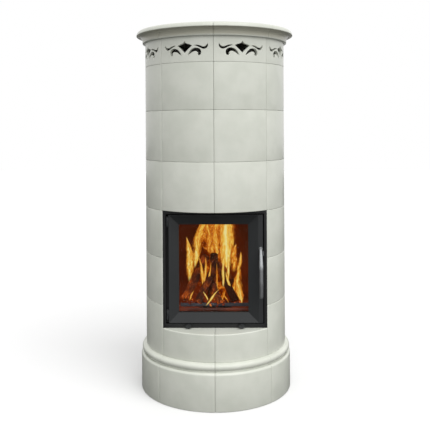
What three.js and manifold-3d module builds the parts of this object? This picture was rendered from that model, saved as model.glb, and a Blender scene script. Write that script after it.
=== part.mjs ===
// A round tiled stove: a wood-burning insert with a glazed door, wrapped in rings of curved,
// glazed tiles. Eight tiles make a ring. A moulded plinth ring carries six plain courses, a
// pierced frieze that lets the warm air out, and a cornice.
//
// Millimetres, +Z up. The origin is on the floor on the stove's axis, and the door faces -Y.

import * as THREE from 'three';
import { mergeVertices } from 'three/addons/utils/BufferGeometryUtils.js';
import { ConvexGeometry } from 'three/addons/geometries/ConvexGeometry.js';
import Module from 'manifold-3d';

const wasm = await Module();
wasm.setup();

// ---------------------------------------------------------------- driving dimensions

// Tiles
const bodyRadius = 330;
const tilesPerRing = 8;
const tileWall = 35;
const tileArris = 3;
const tileJoint = 0.4;
const seamWidth = 3;
const facetsPerTile = 5;

// Plinth ring
const plinthHeight = 204;
const skirtReach = 23;
const skirtHeight = 166;
const skirtRounding = 12;
const neckReach = 7;
const beadRadius = 15;
const beadReach = 19;
const beadCap = 2;

// Courses, from the plinth up: the usual height of a tile, and what each course has of it
const courseHeight = 216;
const courseShares = {
  sill: 1.028,
  lowerDoor: 0.972,
  upperDoor: 0.979,
  lintel: 1.012,
  fifth: 1.046,
  sixth: 0.963,
};
const sillTileHeight = 121;
const shelfThickness = 25;

// Frieze and cornice
const friezeHeight = 112.5;
const friezeWall = 24;
const ornamentTopMargin = 22.5;
const starHeight = 51;
const starReach = 29;
const starShoulder = 10;
const scrollInset = 13;
const scrollWidth = 57;
const scrollHeight = 31;
const scrollThickness = 10;
const scrollDrop = 31;
const waveInset = 42;
const waveWidth = 59;
const waveDrop = 14;
const waveHeight = 18;
const corniceHeight = 55;
const filletReach = 13;
const filletHeight = 9;
const coveHeight = 25;
const coveReach = 19;
const lipRadius = 10.5;

// Top cover
const coverThickness = 12;
const coverRecess = 5;
const coverLedge = 16;

// Front frame of the insert
const frameSideGap = 2.2;
const frameDepth = 36;
const frameBackPlate = 6;
const lipLeft = 12.7;
const lipRight = 12;
const topRail = 15;
const bottomRail = 18;

// Door leaf
const hingeChannel = 13;
const handleSideGap = 5.3;
const leafGapBelow = 3;
const leafGapAbove = 4.5;
const leafRecess = 2;
const leafDepth = 25;
const flangeThickness = 8;
const handleFlange = 20;
const chamferWidth = 44.5;
const chamferDepth = 14;
const chamferBorder = 2;
const glassLip = 2;
const glassOverlap = 10;
const glassThickness = 4;
const gasketWidth = 8;
const gasketGroove = 4;

// Hinges
const hingePin = 3;
const hingeBore = 3.5;
const hingeBarrel = 5.5;
const hingeInset = 6.5;
const hingeSetback = 6.3;
const frameLugHeight = 16;
const leafLugHeight = 24;
const hingeWeb = 5;
const hingePinHead = 4;
const hingePinTail = 2;
const lowerHingeRise = 16;
const upperHingeDrop = 52;

// Handle and latch
const spindleRadius = 5;
const spindleHeight = 330;
const spindleTail = 2;
const leverTopHalfWidth = 6;
const leverHalfWidth = 9.3;
const leverHalfThickness = 4.5;
const leverLength = 210;
const leverRise = 9;
const leverStandoff = 46;
const leverBow = 2;
const tongueLength = 30;
const tongueWidth = 7;
const tongueThickness = 4;
const keeperReach = 10;
const keeperThickness = 3;
const keeperWing = 2;
const tongueSweepGap = 1.5;
const tongueHub = 2.5;
const keeperHeight = 20;
const keeperDrop = 14;

// Air controls
const airInset = 113.1;
const airRodRadius = 3;
const airRodHeight = 12.2;
const airKnobWidth = 27;
const airKnobHeight = 16;
const airKnobLength = 23;
const airKnobBore = 12;
const airKnobRounding = 3;
const airPlateWidth = 60;
const airPlateLength = 70;
const airPlateThickness = 3;
const airPlateSetback = 50;
const airPlateTab = 12;
const airInletWidth = 30;
const airInletLength = 18;
const airInletSetback = 36;

// Firebox shell
const shellWall = 4;
const shellSideGap = 4;
const convectionGap = 33;
const shellBelowSill = 20;
const shellAboveShelf = 5;
const airBoxHeight = 34;
const hearthPlate = 3;
const smokeRadius = 100;
const wellDepth = 60;

// Linings
const brickThickness = 30;
const hearthThickness = 24;
const baffleThickness = 25;
const smokePassage = 57;
const smokeSlot = 120;

// Grate, ash pan and log guard
const grateWidth = 150;
const grateLength = 190;
const grateThickness = 16;
const grateSlots = 8;
const grateSlotWidth = 9;
const grateRim = 18;
const grateLedge = 10;
const grateClearance = 1;
const panWall = 2;
const panClearance = 3;
const panHeadroom = 8;
const guardRadius = 7;
const guardHeight = 22;
const guardSetback = 20;
const guardSideGap = 14;
const guardFootSpacing = 180;
const guardFootWidth = 12;

// Heat storage, flue and stand
const lowerStoneHeight = 310;
const stoneAboveSixth = 38;
const stoneLid = 40;
const flueRadius = 75;
const flueWall = 3;
const flueSeat = 60;
const flueSetback = 2.5;
const flueTileGap = 8;
const standInset = 20;
const standTube = 40;
const standFrameDepth = 30;
const footRadius = 24;
const footHeight = 12;
const standWellGap = 3;

// Clearances, and how far solids that are joined or cut reach past each other
const seat = 0.3;
const runningGap = 0.4;
const pass = 1;
const overshoot = 20;

// ---------------------------------------------------------------- worked-out places

const tileAngle = 2 * Math.PI / tilesPerRing;
const doorHalfAngle = tileAngle;
const innerRadius = bodyRadius - tileWall;

const sillCourse = courseHeight * courseShares.sill;
const lowerDoorCourse = courseHeight * courseShares.lowerDoor;
const upperDoorCourse = courseHeight * courseShares.upperDoor;
const lintelCourse = courseHeight * courseShares.lintel;
const fifthCourse = courseHeight * courseShares.fifth;
const sixthCourse = courseHeight * courseShares.sixth;

const sillBase = plinthHeight;
const lowerDoorBase = sillBase + sillCourse;
const upperDoorBase = lowerDoorBase + lowerDoorCourse;
const lintelBase = upperDoorBase + upperDoorCourse;
const fifthBase = lintelBase + lintelCourse;
const sixthBase = fifthBase + fifthCourse;
const friezeBase = sixthBase + sixthCourse;
const corniceBase = friezeBase + friezeHeight;
const stoveTop = corniceBase + corniceHeight;
const sillTop = sillBase + sillTileHeight;
const skirtRadius = bodyRadius + skirtReach;
const corniceReach = bodyRadius + filletReach + coveReach + lipRadius;

const faceY = -bodyRadius * Math.cos(doorHalfAngle);
const frameHalf = bodyRadius * Math.sin(doorHalfAngle) - frameSideGap;
const frameBackY = faceY + frameDepth;
const frameBottom = sillTop + seat;
const frameTop = lintelBase - runningGap;
const pocketFloorY = frameBackY - frameBackPlate;

const leafLeft = -frameHalf + lipLeft + hingeChannel;
const leafRight = frameHalf - lipRight - handleSideGap;
const leafBottom = frameBottom + bottomRail + leafGapBelow;
const leafTop = frameTop - topRail - leafGapAbove;
const leafFrontY = faceY + leafRecess;
const leafBackY = leafFrontY + leafDepth;
const chamferRight = leafRight - handleFlange;

const sight = {
  left: leafLeft + chamferWidth,
  right: chamferRight - chamferWidth,
  bottom: leafBottom + chamferWidth,
  top: leafTop - chamferWidth,
};
const glassFrontY = leafFrontY + chamferDepth + glassLip;
const glassBackY = glassFrontY + glassThickness;

const hingeX = leafLeft - hingeInset;
const hingeY = faceY + hingeSetback;
const spindleX = leafRight - handleFlange / 2;
const spindleZ = leafBottom + spindleHeight;

const shellFrontY = frameBackY + seat;
const shellHalf = Math.sqrt((innerRadius - shellSideGap) ** 2 - shellFrontY ** 2);
const stoneRadius = innerRadius - convectionGap;
const shellBackY = Math.sqrt(Math.max(stoneRadius ** 2 - shellHalf ** 2, brickThickness ** 2));
const shellBottom = sillTop - shellBelowSill;
const shellTop = lintelBase + shelfThickness + shellAboveShelf;
const airBoxTop = shellBottom + shellWall + airBoxHeight;
const hearthBase = airBoxTop + hearthPlate;
const hearthTop = hearthBase + seat + hearthThickness;
const chamberHalf = shellHalf - shellWall;
const chamberBackY = shellBackY - shellWall;
const baffleTop = shellTop - shellWall - smokePassage;
const sideBrickTop = baffleTop - baffleThickness - seat;
const grateCentreY = (shellFrontY + chamberBackY - brickThickness) / 2;
const wellHalfX = grateWidth / 2 - grateLedge;
const wellHalfY = grateLength / 2 - grateLedge;
const wellBottom = shellBottom - wellDepth;

const airRodX = frameHalf - airInset;
const airRodZ = frameBottom + airRodHeight;
const flueZ = sixthBase + sixthCourse / 2;
const flueEndY = corniceReach - flueSetback;
const stoneBase = shellTop + seat;
const stoneSplit = stoneBase + lowerStoneHeight;
const stoneTop = friezeBase + stoneAboveSixth;

// ---------------------------------------------------------------- materials

function finish(color, roughness, metalness, opacity = 1) {
  return new THREE.MeshStandardMaterial({
    color,
    roughness,
    metalness,
    opacity,
    transparent: opacity < 1,
  });
}

const glaze = finish(0xc9cbc1, 0.18, 0);
const blackSteel = finish(0x26282a, 0.5, 0.6);
const bareSteel = finish(0xb9bcbf, 0.3, 1);
const castIron = finish(0x2c2b2a, 0.75, 0.5);
const fireBrick = finish(0x7a4330, 0.9, 0);
const storageStone = finish(0x9a958c, 0.95, 0);
const ropeSeal = finish(0x5c5a55, 0.95, 0);
const stoveGlass = finish(0xd9d4c8, 0.05, 0, 0.3);

// ---------------------------------------------------------------- solid tools

/** Makes a solid from a closed three.js geometry, whichever way its faces point. */
function solid(geometry) {
  const bare = geometry.clone();
  bare.deleteAttribute('normal');
  bare.deleteAttribute('uv');
  const merged = mergeVertices(bare, 1e-4);
  const vertices = merged.attributes.position.array;
  const triangles = merged.index.array.slice();
  if (signedVolume(vertices, triangles) < 0) {
    for (let i = 0; i < triangles.length; i += 3) {
      [triangles[i + 1], triangles[i + 2]] = [triangles[i + 2], triangles[i + 1]];
    }
  }
  return new wasm.Manifold(new wasm.Mesh({
    numProp: 3,
    vertProperties: Float32Array.from(vertices),
    triVerts: Uint32Array.from(triangles),
  }));
}

function signedVolume(vertices, triangles) {
  const corner = (i) => new THREE.Vector3().fromArray(vertices, 3 * triangles[i]);
  let sum = 0;
  for (let i = 0; i < triangles.length; i += 3) {
    sum += corner(i).dot(corner(i + 1).cross(corner(i + 2)));
  }
  return sum / 6;
}

const join = (first, ...others) => others.reduce((whole, piece) => whole.add(piece), first);
const cut = (first, ...others) => others.reduce((whole, piece) => whole.subtract(piece), first);

/** A block between two corners. */
function block([x0, y0, z0], [x1, y1, z1]) {
  const box = new THREE.BoxGeometry(x1 - x0, y1 - y0, z1 - z0);
  box.translate((x0 + x1) / 2, (y0 + y1) / 2, (z0 + z1) / 2);
  return solid(box);
}

/** A round bar along Z from z0 to z1. */
function upright(x, y, radius, z0, z1, sides = 16) {
  const bar = new THREE.CylinderGeometry(radius, radius, z1 - z0, sides);
  bar.rotateX(Math.PI / 2);
  bar.translate(x, y, (z0 + z1) / 2);
  return solid(bar);
}

/** A round bar along Y from y0 to y1. */
function fromFront(x, z, radius, y0, y1, sides = 16) {
  const bar = new THREE.CylinderGeometry(radius, radius, y1 - y0, sides);
  bar.translate(x, (y0 + y1) / 2, z);
  return solid(bar);
}

/** A flat outline in (x, z), given thickness from yBack towards the front. */
function panel(shape, yBack, thickness, curveSegments = 4) {
  const plate = new THREE.ExtrudeGeometry(shape, { depth: thickness, bevelEnabled: false, curveSegments });
  plate.rotateX(Math.PI / 2);
  plate.translate(0, yBack, 0);
  return solid(plate);
}

/** A profile of (radius, height) points turned about the stove's axis, starting at the front. */
function turned(profile) {
  const closesOnAxis = profile[0].x === 0;
  const points = closesOnAxis ? profile : [...profile, profile[0]];
  const ring = new THREE.LatheGeometry(points, tilesPerRing * facetsPerTile);
  ring.rotateX(Math.PI / 2);
  return solid(ring);
}

/** Points of a round moulding, from one angle to another, in (radius, height). */
function moulding(centreR, centreZ, radiusR, radiusZ, from, to, steps) {
  return Array.from({ length: steps + 1 }, (_, i) => {
    const angle = from + (to - from) * i / steps;
    return new THREE.Vector2(centreR + radiusR * Math.cos(angle), centreZ + radiusZ * Math.sin(angle));
  });
}

const at = (radius, height) => new THREE.Vector2(radius, height);

// ---------------------------------------------------------------- tile rings

/** The space of a run of tiles: a wedge from one tile joint to another, less half a joint. */
function wedge(fromTile, toTile) {
  const start = fromTile * tileAngle;
  const end = toTile * tileAngle;
  const middle = (start + end) / 2;
  const half = (end - start) / 2;
  const apex = tileJoint / 2 / Math.sin(half);
  const reach = 2 * corniceReach;
  const fan = new THREE.Shape();
  const corner = (angle, radius) => [Math.sin(angle) * radius, -Math.cos(angle) * radius];
  const [apexX, apexY] = corner(middle, apex);
  const arm = (angle) => {
    const [x, y] = corner(angle, reach);
    return [apexX + x, apexY + y];
  };
  fan.moveTo(apexX, apexY);
  fan.lineTo(...arm(middle - half));
  fan.lineTo(...arm(middle - half / 3));
  fan.lineTo(...arm(middle + half / 3));
  fan.lineTo(...arm(middle + half));
  fan.closePath();
  const prism = new THREE.ExtrudeGeometry(fan, { depth: stoveTop + 2 * overshoot, bevelEnabled: false });
  prism.translate(0, 0, -overshoot);
  return solid(prism);
}

/** The V-shaped seams where the rounded ends of neighbouring tiles meet. */
function seams(radius, base, top) {
  const half = seamWidth / 2;
  const notch = new THREE.Shape();
  notch.moveTo(0, -(radius - half));
  notch.lineTo(half + pass, -(radius + pass));
  notch.lineTo(-half - pass, -(radius + pass));
  notch.closePath();
  const cutters = [];
  for (let joint = 0; joint < tilesPerRing; joint += 1) {
    const seam = new THREE.ExtrudeGeometry(notch, { depth: top - base + 2 * pass, bevelEnabled: false });
    seam.translate(0, 0, base - pass);
    seam.rotateZ(joint * tileAngle);
    cutters.push(solid(seam));
  }
  return cutters;
}

/** A plain course of tiles with rounded upper and lower arrises. */
function plainCourse(base, height, wall = tileWall) {
  const low = base + tileJoint / 2;
  const high = base + height - tileJoint / 2;
  const edge = bodyRadius - tileArris;
  const profile = [
    at(bodyRadius - wall, high),
    at(bodyRadius - wall, low),
    ...moulding(edge, low + tileArris, tileArris, tileArris, -Math.PI / 2, 0, 1),
    ...moulding(edge, high - tileArris, tileArris, tileArris, 0, Math.PI / 2, 1),
  ];
  return cut(turned(profile), ...seams(bodyRadius, low, high));
}

/** The plinth: a tall skirt with a rounded shoulder, a neck and a round bead. */
function plinthRing() {
  const high = plinthHeight - tileJoint / 2;
  const shoulder = skirtRadius - skirtRounding;
  const beadCentre = bodyRadius + beadReach - beadRadius;
  const beadZ = high - beadCap - beadRadius;
  const profile = [
    at(innerRadius, high),
    at(innerRadius, 0),
    at(skirtRadius, 0),
    ...moulding(shoulder, skirtHeight - skirtRounding, skirtRounding, skirtRounding, 0, Math.PI / 2, 3),
    at(bodyRadius + neckReach, skirtHeight),
    ...moulding(beadCentre, beadZ, beadRadius, beadRadius, -Math.PI / 2, Math.PI / 2, 5),
    at(bodyRadius, high),
  ];
  return cut(turned(profile), ...seams(skirtRadius, 0, skirtHeight - skirtRounding));
}

/** The cornice: fillet, cove and round lip, with a ledge inside for the top cover. */
function corniceRing() {
  const low = corniceBase + tileJoint / 2;
  const filletRadius = bodyRadius + filletReach;
  const coveBase = corniceBase + filletHeight;
  const coveEnd = filletRadius + coveReach;
  const lipZ = stoveTop - lipRadius;
  const ledgeZ = stoveTop - coverRecess - coverThickness - seat;
  const profile = [
    at(innerRadius + coverLedge, stoveTop),
    at(innerRadius + coverLedge, ledgeZ),
    at(innerRadius, ledgeZ),
    at(innerRadius, low),
    at(filletRadius, low),
    ...moulding(coveEnd, coveBase, -coveReach, coveHeight, 0, Math.PI / 2, 3),
    ...moulding(coveEnd, lipZ, lipRadius, lipRadius, -Math.PI / 2, Math.PI / 2, 5).slice(1),
  ];
  return turned(profile);
}

/** The middle motif of a frieze tile: a four-pointed star with a long foot. */
function star(top) {
  const side = top - starHeight * 0.4;
  const shoulder = top - starHeight * 0.27;
  const waist = top - starHeight * 0.53;
  const shape = new THREE.Shape();
  shape.moveTo(0, top);
  shape.quadraticCurveTo(starShoulder / 3, shoulder, starShoulder, shoulder);
  shape.quadraticCurveTo(starReach * 0.6, side + 3, starReach, side);
  shape.quadraticCurveTo(starReach * 0.4, waist, 0, top - starHeight);
  shape.quadraticCurveTo(-starReach * 0.4, waist, -starReach, side);
  shape.quadraticCurveTo(-starReach * 0.6, side + 3, -starShoulder, shoulder);
  shape.quadraticCurveTo(-starShoulder / 3, shoulder, 0, top);
  return shape;
}

/** An arched scroll beside the star: a thin tail inside, a thick hooked end outside. */
function scroll(top, side) {
  const x = (share) => side * (scrollInset + scrollWidth * share);
  const z = (share) => top - scrollDrop - scrollHeight * share;
  const thick = scrollThickness / scrollWidth;
  const shape = new THREE.Shape();
  shape.moveTo(x(0), z(0.85));
  shape.quadraticCurveTo(x(0.22), z(0), x(0.6), z(0));
  shape.quadraticCurveTo(x(1.02), z(0), x(1), z(0.6));
  shape.quadraticCurveTo(x(1), z(1), x(1 - thick / 2), z(1));
  shape.quadraticCurveTo(x(1 - thick), z(1), x(1 - thick), z(0.72));
  shape.quadraticCurveTo(x(0.78), z(0.36), x(0.55), z(0.34));
  shape.quadraticCurveTo(x(0.25), z(0.36), x(0), z(0.85));
  return shape;
}

/** A wave-shaped leaf above the scroll, rising to a point at its outer end. */
function wave(top, side) {
  const x = (share) => side * (waveInset + waveWidth * share);
  const z = (share) => top - waveDrop - waveHeight * share;
  const shape = new THREE.Shape();
  shape.moveTo(x(0), z(0.15));
  shape.quadraticCurveTo(x(0.3), z(0.05), x(0.55), z(0.4));
  shape.quadraticCurveTo(x(0.8), z(0.75), x(1), z(0));
  shape.quadraticCurveTo(x(0.98), z(1), x(0.75), z(1));
  shape.quadraticCurveTo(x(0.5), z(0.9), x(0.35), z(0.55));
  shape.quadraticCurveTo(x(0.2), z(0.25), x(0), z(0.15));
  return shape;
}

/** The frieze: a plain course whose tiles are pierced with star, scrolls and waves. */
function friezeRing() {
  const top = friezeBase + friezeHeight - ornamentTopMargin;
  const motifs = [star(top)];
  for (const side of [-1, 1]) {
    motifs.push(scroll(top, side), wave(top, side));
  }
  const piercings = [];
  for (let tile = 0; tile < tilesPerRing; tile += 1) {
    for (const motif of motifs) {
      const back = -(bodyRadius - friezeWall) * Math.cos(tileAngle / 2) + overshoot;
      const through = panel(motif, back, friezeWall + 3 * overshoot, 3);
      piercings.push(through.rotate([0, 0, THREE.MathUtils.radToDeg((tile + 0.5) * tileAngle)]));
    }
  }
  return cut(plainCourse(friezeBase, friezeHeight, friezeWall), ...piercings);
}

/** The opening that the front frame stands in, and the plane in front of which shelves end. */
function doorway() {
  const half = frameHalf + runningGap;
  return block([-half, -2 * bodyRadius, sillTop], [half, 0, lintelBase - tileJoint]);
}

/** A flat shelf that closes the front tiles back to the frame: the sill, or the lintel's soffit. */
function shelf(base, top) {
  const edge = bodyRadius - tileArris;
  const disc = turned([at(0, base), at(edge, base), at(edge, top), at(0, top)]);
  const front = block(
    [-bodyRadius, -2 * bodyRadius, base - pass],
    [bodyRadius, frameBackY - runningGap, top + pass],
  );
  return disc.intersect(front);
}

/** The first course: its two front tiles end low, as a deep sill with a rounded edge. */
function sillRing() {
  const sill = plainCourse(sillBase, sillTileHeight + tileJoint / 2);
  const full = plainCourse(sillBase, sillCourse);
  const deep = join(sill, shelf(sillTop - shelfThickness, sillTop));
  return { front: deep, sides: cut(full, doorway()) };
}

/** The lintel course: its two front tiles return to the frame as a flat soffit. */
function lintelRing() {
  const ring = plainCourse(lintelBase, lintelCourse);
  const low = lintelBase + tileJoint / 2;
  return join(ring, shelf(low, low + shelfThickness));
}

const flueHole = fromFront(0, flueZ, flueRadius + flueTileGap, 0, 2 * bodyRadius, 24);

// ---------------------------------------------------------------- assembly

const stove = new THREE.Group();

function add(name, shape, material) {
  const mesh = shape.getMesh();
  const geometry = new THREE.BufferGeometry();
  geometry.setAttribute('position', new THREE.BufferAttribute(mesh.vertProperties.slice(), 3));
  geometry.setIndex(new THREE.BufferAttribute(mesh.triVerts.slice(), 1));
  geometry.computeVertexNormals();
  const part = new THREE.Mesh(geometry, material);
  part.name = name;
  stove.add(part);
}

const sections = {
  front_left: wedge(-1, 0),
  front_right: wedge(0, 1),
  left: wedge(-tilesPerRing / 2, -1),
  right: wedge(1, tilesPerRing / 2),
};

function addRing(name, ring, places = Object.keys(sections)) {
  for (const place of places) {
    add(`${name}_${place}`, ring.intersect(sections[place]), glaze);
  }
}

addRing('plinth', plinthRing());
const firstCourse = sillRing();
addRing('course_1', firstCourse.front, ['front_left', 'front_right']);
addRing('course_1', firstCourse.sides, ['left', 'right']);
addRing('course_2', cut(plainCourse(lowerDoorBase, lowerDoorCourse), doorway()), ['left', 'right']);
addRing('course_3', cut(plainCourse(upperDoorBase, upperDoorCourse), doorway()), ['left', 'right']);
addRing('course_4', lintelRing());
addRing('course_5', plainCourse(fifthBase, fifthCourse));
addRing('course_6', cut(plainCourse(sixthBase, sixthCourse), flueHole));
addRing('frieze', friezeRing());
addRing('cornice', corniceRing());

const coverTop = stoveTop - coverRecess;
const coverEdge = innerRadius + coverLedge - runningGap;
const coverProfile = [
  at(0, coverTop - coverThickness),
  at(coverEdge, coverTop - coverThickness),
  at(coverEdge, coverTop),
  at(0, coverTop),
];
add('top_cover', turned(coverProfile), blackSteel);

// ---------------------------------------------------------------- insert frame and shell

const hingeHeights = {
  lower: leafBottom + lowerHingeRise,
  upper: leafTop - upperHingeDrop,
};

const mouth = {
  left: sight.left - glassOverlap,
  right: sight.right + glassOverlap,
  bottom: sight.bottom - glassOverlap,
  top: sight.top + glassOverlap,
};

/** A barrel on the hinge axis, with a web that reaches to what carries it. */
function hingeLug(z0, z1, web) {
  const barrel = join(upright(hingeX, hingeY, hingeBarrel, z0, z1), web);
  return cut(barrel, upright(hingeX, hingeY, hingeBore, z0 - pass, z1 + pass));
}

function insertFrame() {
  const outer = block([-frameHalf, faceY, frameBottom], [frameHalf, frameBackY, frameTop]);
  const pocket = block(
    [-frameHalf + lipLeft, faceY - pass, frameBottom + bottomRail],
    [frameHalf - lipRight, pocketFloorY, frameTop - topRail],
  );
  const opening = block(
    [mouth.left, pocketFloorY - pass, mouth.bottom],
    [mouth.right, frameBackY + pass, mouth.top],
  );
  const rodHoles = [-1, 1].map((side) => fromFront(
    side * airRodX, airRodZ, airRodRadius + runningGap, faceY - pass, frameBackY + pass,
  ));
  const lugs = Object.values(hingeHeights).map((z) => {
    const web = block(
      [hingeX - hingeWeb / 2, hingeY, z],
      [hingeX + hingeWeb / 2, pocketFloorY + pass, z + frameLugHeight],
    );
    return hingeLug(z, z + frameLugHeight, web);
  });
  return join(cut(outer, pocket, opening, ...rodHoles), ...lugs);
}
add('insert_frame', insertFrame(), blackSteel);

/** The steel body: an air box below, the fire chamber above, and a well for the ash pan. */
function fireboxShell() {
  const outer = block([-shellHalf, shellFrontY, shellBottom], [shellHalf, shellBackY, shellTop]);
  const chamber = block(
    [-chamberHalf, shellFrontY - pass, hearthBase],
    [chamberHalf, chamberBackY, shellTop - shellWall],
  );
  const airBox = block(
    [-chamberHalf, shellFrontY + shellWall, shellBottom + shellWall],
    [chamberHalf, chamberBackY, airBoxTop],
  );
  const well = block(
    [-wellHalfX - shellWall, grateCentreY - wellHalfY - shellWall, wellBottom],
    [wellHalfX + shellWall, grateCentreY + wellHalfY + shellWall, shellBottom + pass],
  );
  const wellSpace = block(
    [-wellHalfX, grateCentreY - wellHalfY, wellBottom + shellWall],
    [wellHalfX, grateCentreY + wellHalfY, hearthBase + pass],
  );
  const smokeWay = upright(0, 0, smokeRadius, shellTop - 2 * shellWall, shellTop + pass, 24);
  const rodHoles = [-1, 1].map((side) => fromFront(
    side * airRodX, airRodZ, airRodRadius + runningGap, shellFrontY - pass, shellFrontY + 2 * shellWall,
  ));
  const inletY = shellFrontY + airPlateSetback + airInletSetback;
  const inlets = [-1, 1].map((side) => block(
    [side * airRodX - airInletWidth / 2, inletY, shellBottom - pass],
    [side * airRodX + airInletWidth / 2, inletY + airInletLength, shellBottom + 2 * shellWall],
  ));
  return cut(join(outer, well), chamber, airBox, wellSpace, smokeWay, ...rodHoles, ...inlets);
}
add('firebox_shell', fireboxShell(), blackSteel);

// ---------------------------------------------------------------- linings

const lining = {
  front: shellFrontY + runningGap,
  side: chamberHalf - brickThickness - seat,
  back: chamberBackY - brickThickness - seat,
};

function hearthBrick() {
  const slab = block(
    [-lining.side + seat, lining.front, hearthBase + seat],
    [lining.side - seat, lining.back - seat, hearthTop],
  );
  const ledgeZ = hearthTop - grateThickness - seat;
  const clear = grateClearance;
  const upper = block(
    [-grateWidth / 2 - clear, grateCentreY - grateLength / 2 - clear, ledgeZ],
    [grateWidth / 2 + clear, grateCentreY + grateLength / 2 + clear, hearthTop + pass],
  );
  const lower = block(
    [-wellHalfX, grateCentreY - wellHalfY, hearthBase],
    [wellHalfX, grateCentreY + wellHalfY, hearthTop],
  );
  return cut(slab, upper, lower);
}
add('hearth_brick', hearthBrick(), fireBrick);

for (const [name, side] of [['left_brick', -1], ['right_brick', 1]]) {
  const edges = [side * lining.side, side * (chamberHalf - seat)].sort((a, b) => a - b);
  const brick = block(
    [edges[0], lining.front, hearthBase + seat],
    [edges[1], lining.back - seat, sideBrickTop],
  );
  add(name, brick, fireBrick);
}

const backBrick = block(
  [-chamberHalf + seat, lining.back, hearthBase + seat],
  [chamberHalf - seat, chamberBackY - seat, sideBrickTop],
);
add('back_brick', backBrick, fireBrick);

const baffleBrick = block(
  [-chamberHalf + seat, lining.front + smokeSlot, baffleTop - baffleThickness],
  [chamberHalf - seat, chamberBackY - seat, baffleTop],
);
add('baffle_brick', baffleBrick, fireBrick);

// ---------------------------------------------------------------- grate, ash pan, log guard

function grate() {
  const bottom = hearthTop - grateThickness;
  const plate = block(
    [-grateWidth / 2, grateCentreY - grateLength / 2, bottom],
    [grateWidth / 2, grateCentreY + grateLength / 2, hearthTop],
  );
  const pitch = (grateWidth - 2 * grateRim) / (grateSlots - 1);
  const slots = Array.from({ length: grateSlots }, (_, i) => {
    const x = -grateWidth / 2 + grateRim + i * pitch;
    return block(
      [x - grateSlotWidth / 2, grateCentreY - grateLength / 2 + grateRim, bottom - pass],
      [x + grateSlotWidth / 2, grateCentreY + grateLength / 2 - grateRim, hearthTop + pass],
    );
  });
  return cut(plate, ...slots);
}
add('grate', grate(), castIron);

function ashPan() {
  const halfX = wellHalfX - panClearance;
  const halfY = wellHalfY - panClearance;
  const bottom = wellBottom + shellWall + seat;
  const top = hearthTop - grateThickness - panHeadroom;
  const box = block(
    [-halfX, grateCentreY - halfY, bottom],
    [halfX, grateCentreY + halfY, top],
  );
  const inside = block(
    [-halfX + panWall, grateCentreY - halfY + panWall, bottom + panWall],
    [halfX - panWall, grateCentreY + halfY - panWall, top + pass],
  );
  return cut(box, inside);
}
add('ash_pan', ashPan(), blackSteel);

function logGuard() {
  const y = lining.front + guardSetback;
  const half = lining.side - guardSideGap;
  const rail = new THREE.CylinderGeometry(guardRadius, guardRadius, 2 * half, 12);
  rail.rotateZ(Math.PI / 2);
  rail.translate(0, y, hearthTop + guardHeight);
  const base = hearthTop + seat;
  const middle = hearthTop + guardHeight / 2;
  const top = hearthTop + guardHeight;
  const neck = guardFootWidth / 2;
  const feet = [-1, 1].map((side) => {
    const foot = new THREE.Shape();
    const x = side * guardFootSpacing / 2;
    foot.moveTo(x - guardFootWidth, base);
    foot.lineTo(x + guardFootWidth, base);
    foot.quadraticCurveTo(x + neck, middle, x + neck, top);
    foot.lineTo(x - neck, top);
    foot.quadraticCurveTo(x - neck, middle, x - guardFootWidth, base);
    return panel(foot, y + guardRadius, 2 * guardRadius);
  });
  return join(solid(rail), ...feet);
}
add('log_guard', logGuard(), castIron);

// ---------------------------------------------------------------- door

/** A rectangular prism that narrows from a front outline to a back one, as a mitred chamfer. */
function funnel(front, back, yFront, yBack) {
  const corners = [[front, yFront], [back, yBack]].flatMap(([edge, y]) => [
    new THREE.Vector3(edge.left, y, edge.bottom),
    new THREE.Vector3(edge.right, y, edge.bottom),
    new THREE.Vector3(edge.right, y, edge.top),
    new THREE.Vector3(edge.left, y, edge.top),
  ]);
  return solid(new ConvexGeometry(corners));
}

const grown = (edge, by) => ({
  left: edge.left - by,
  right: edge.right + by,
  bottom: edge.bottom - by,
  top: edge.top + by,
});

/** A flat rectangular loop, between an outline and the same outline drawn in. */
function loop(edge, width, yFront, yBack) {
  const inner = grown(edge, -width);
  return cut(
    block([edge.left, yFront, edge.bottom], [edge.right, yBack, edge.top]),
    block([inner.left, yFront - pass, inner.bottom], [inner.right, yBack + pass, inner.top]),
  );
}

const glassEdge = grown(sight, glassOverlap - seat);
const glassPocket = grown(sight, glassOverlap);
const gasketInset = (chamferWidth - glassOverlap - gasketWidth) / 2;
const gasketEdge = grown(glassPocket, gasketInset + gasketWidth);
const tongueFrontY = leafFrontY + flangeThickness + keeperThickness + 4 * seat;

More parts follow.
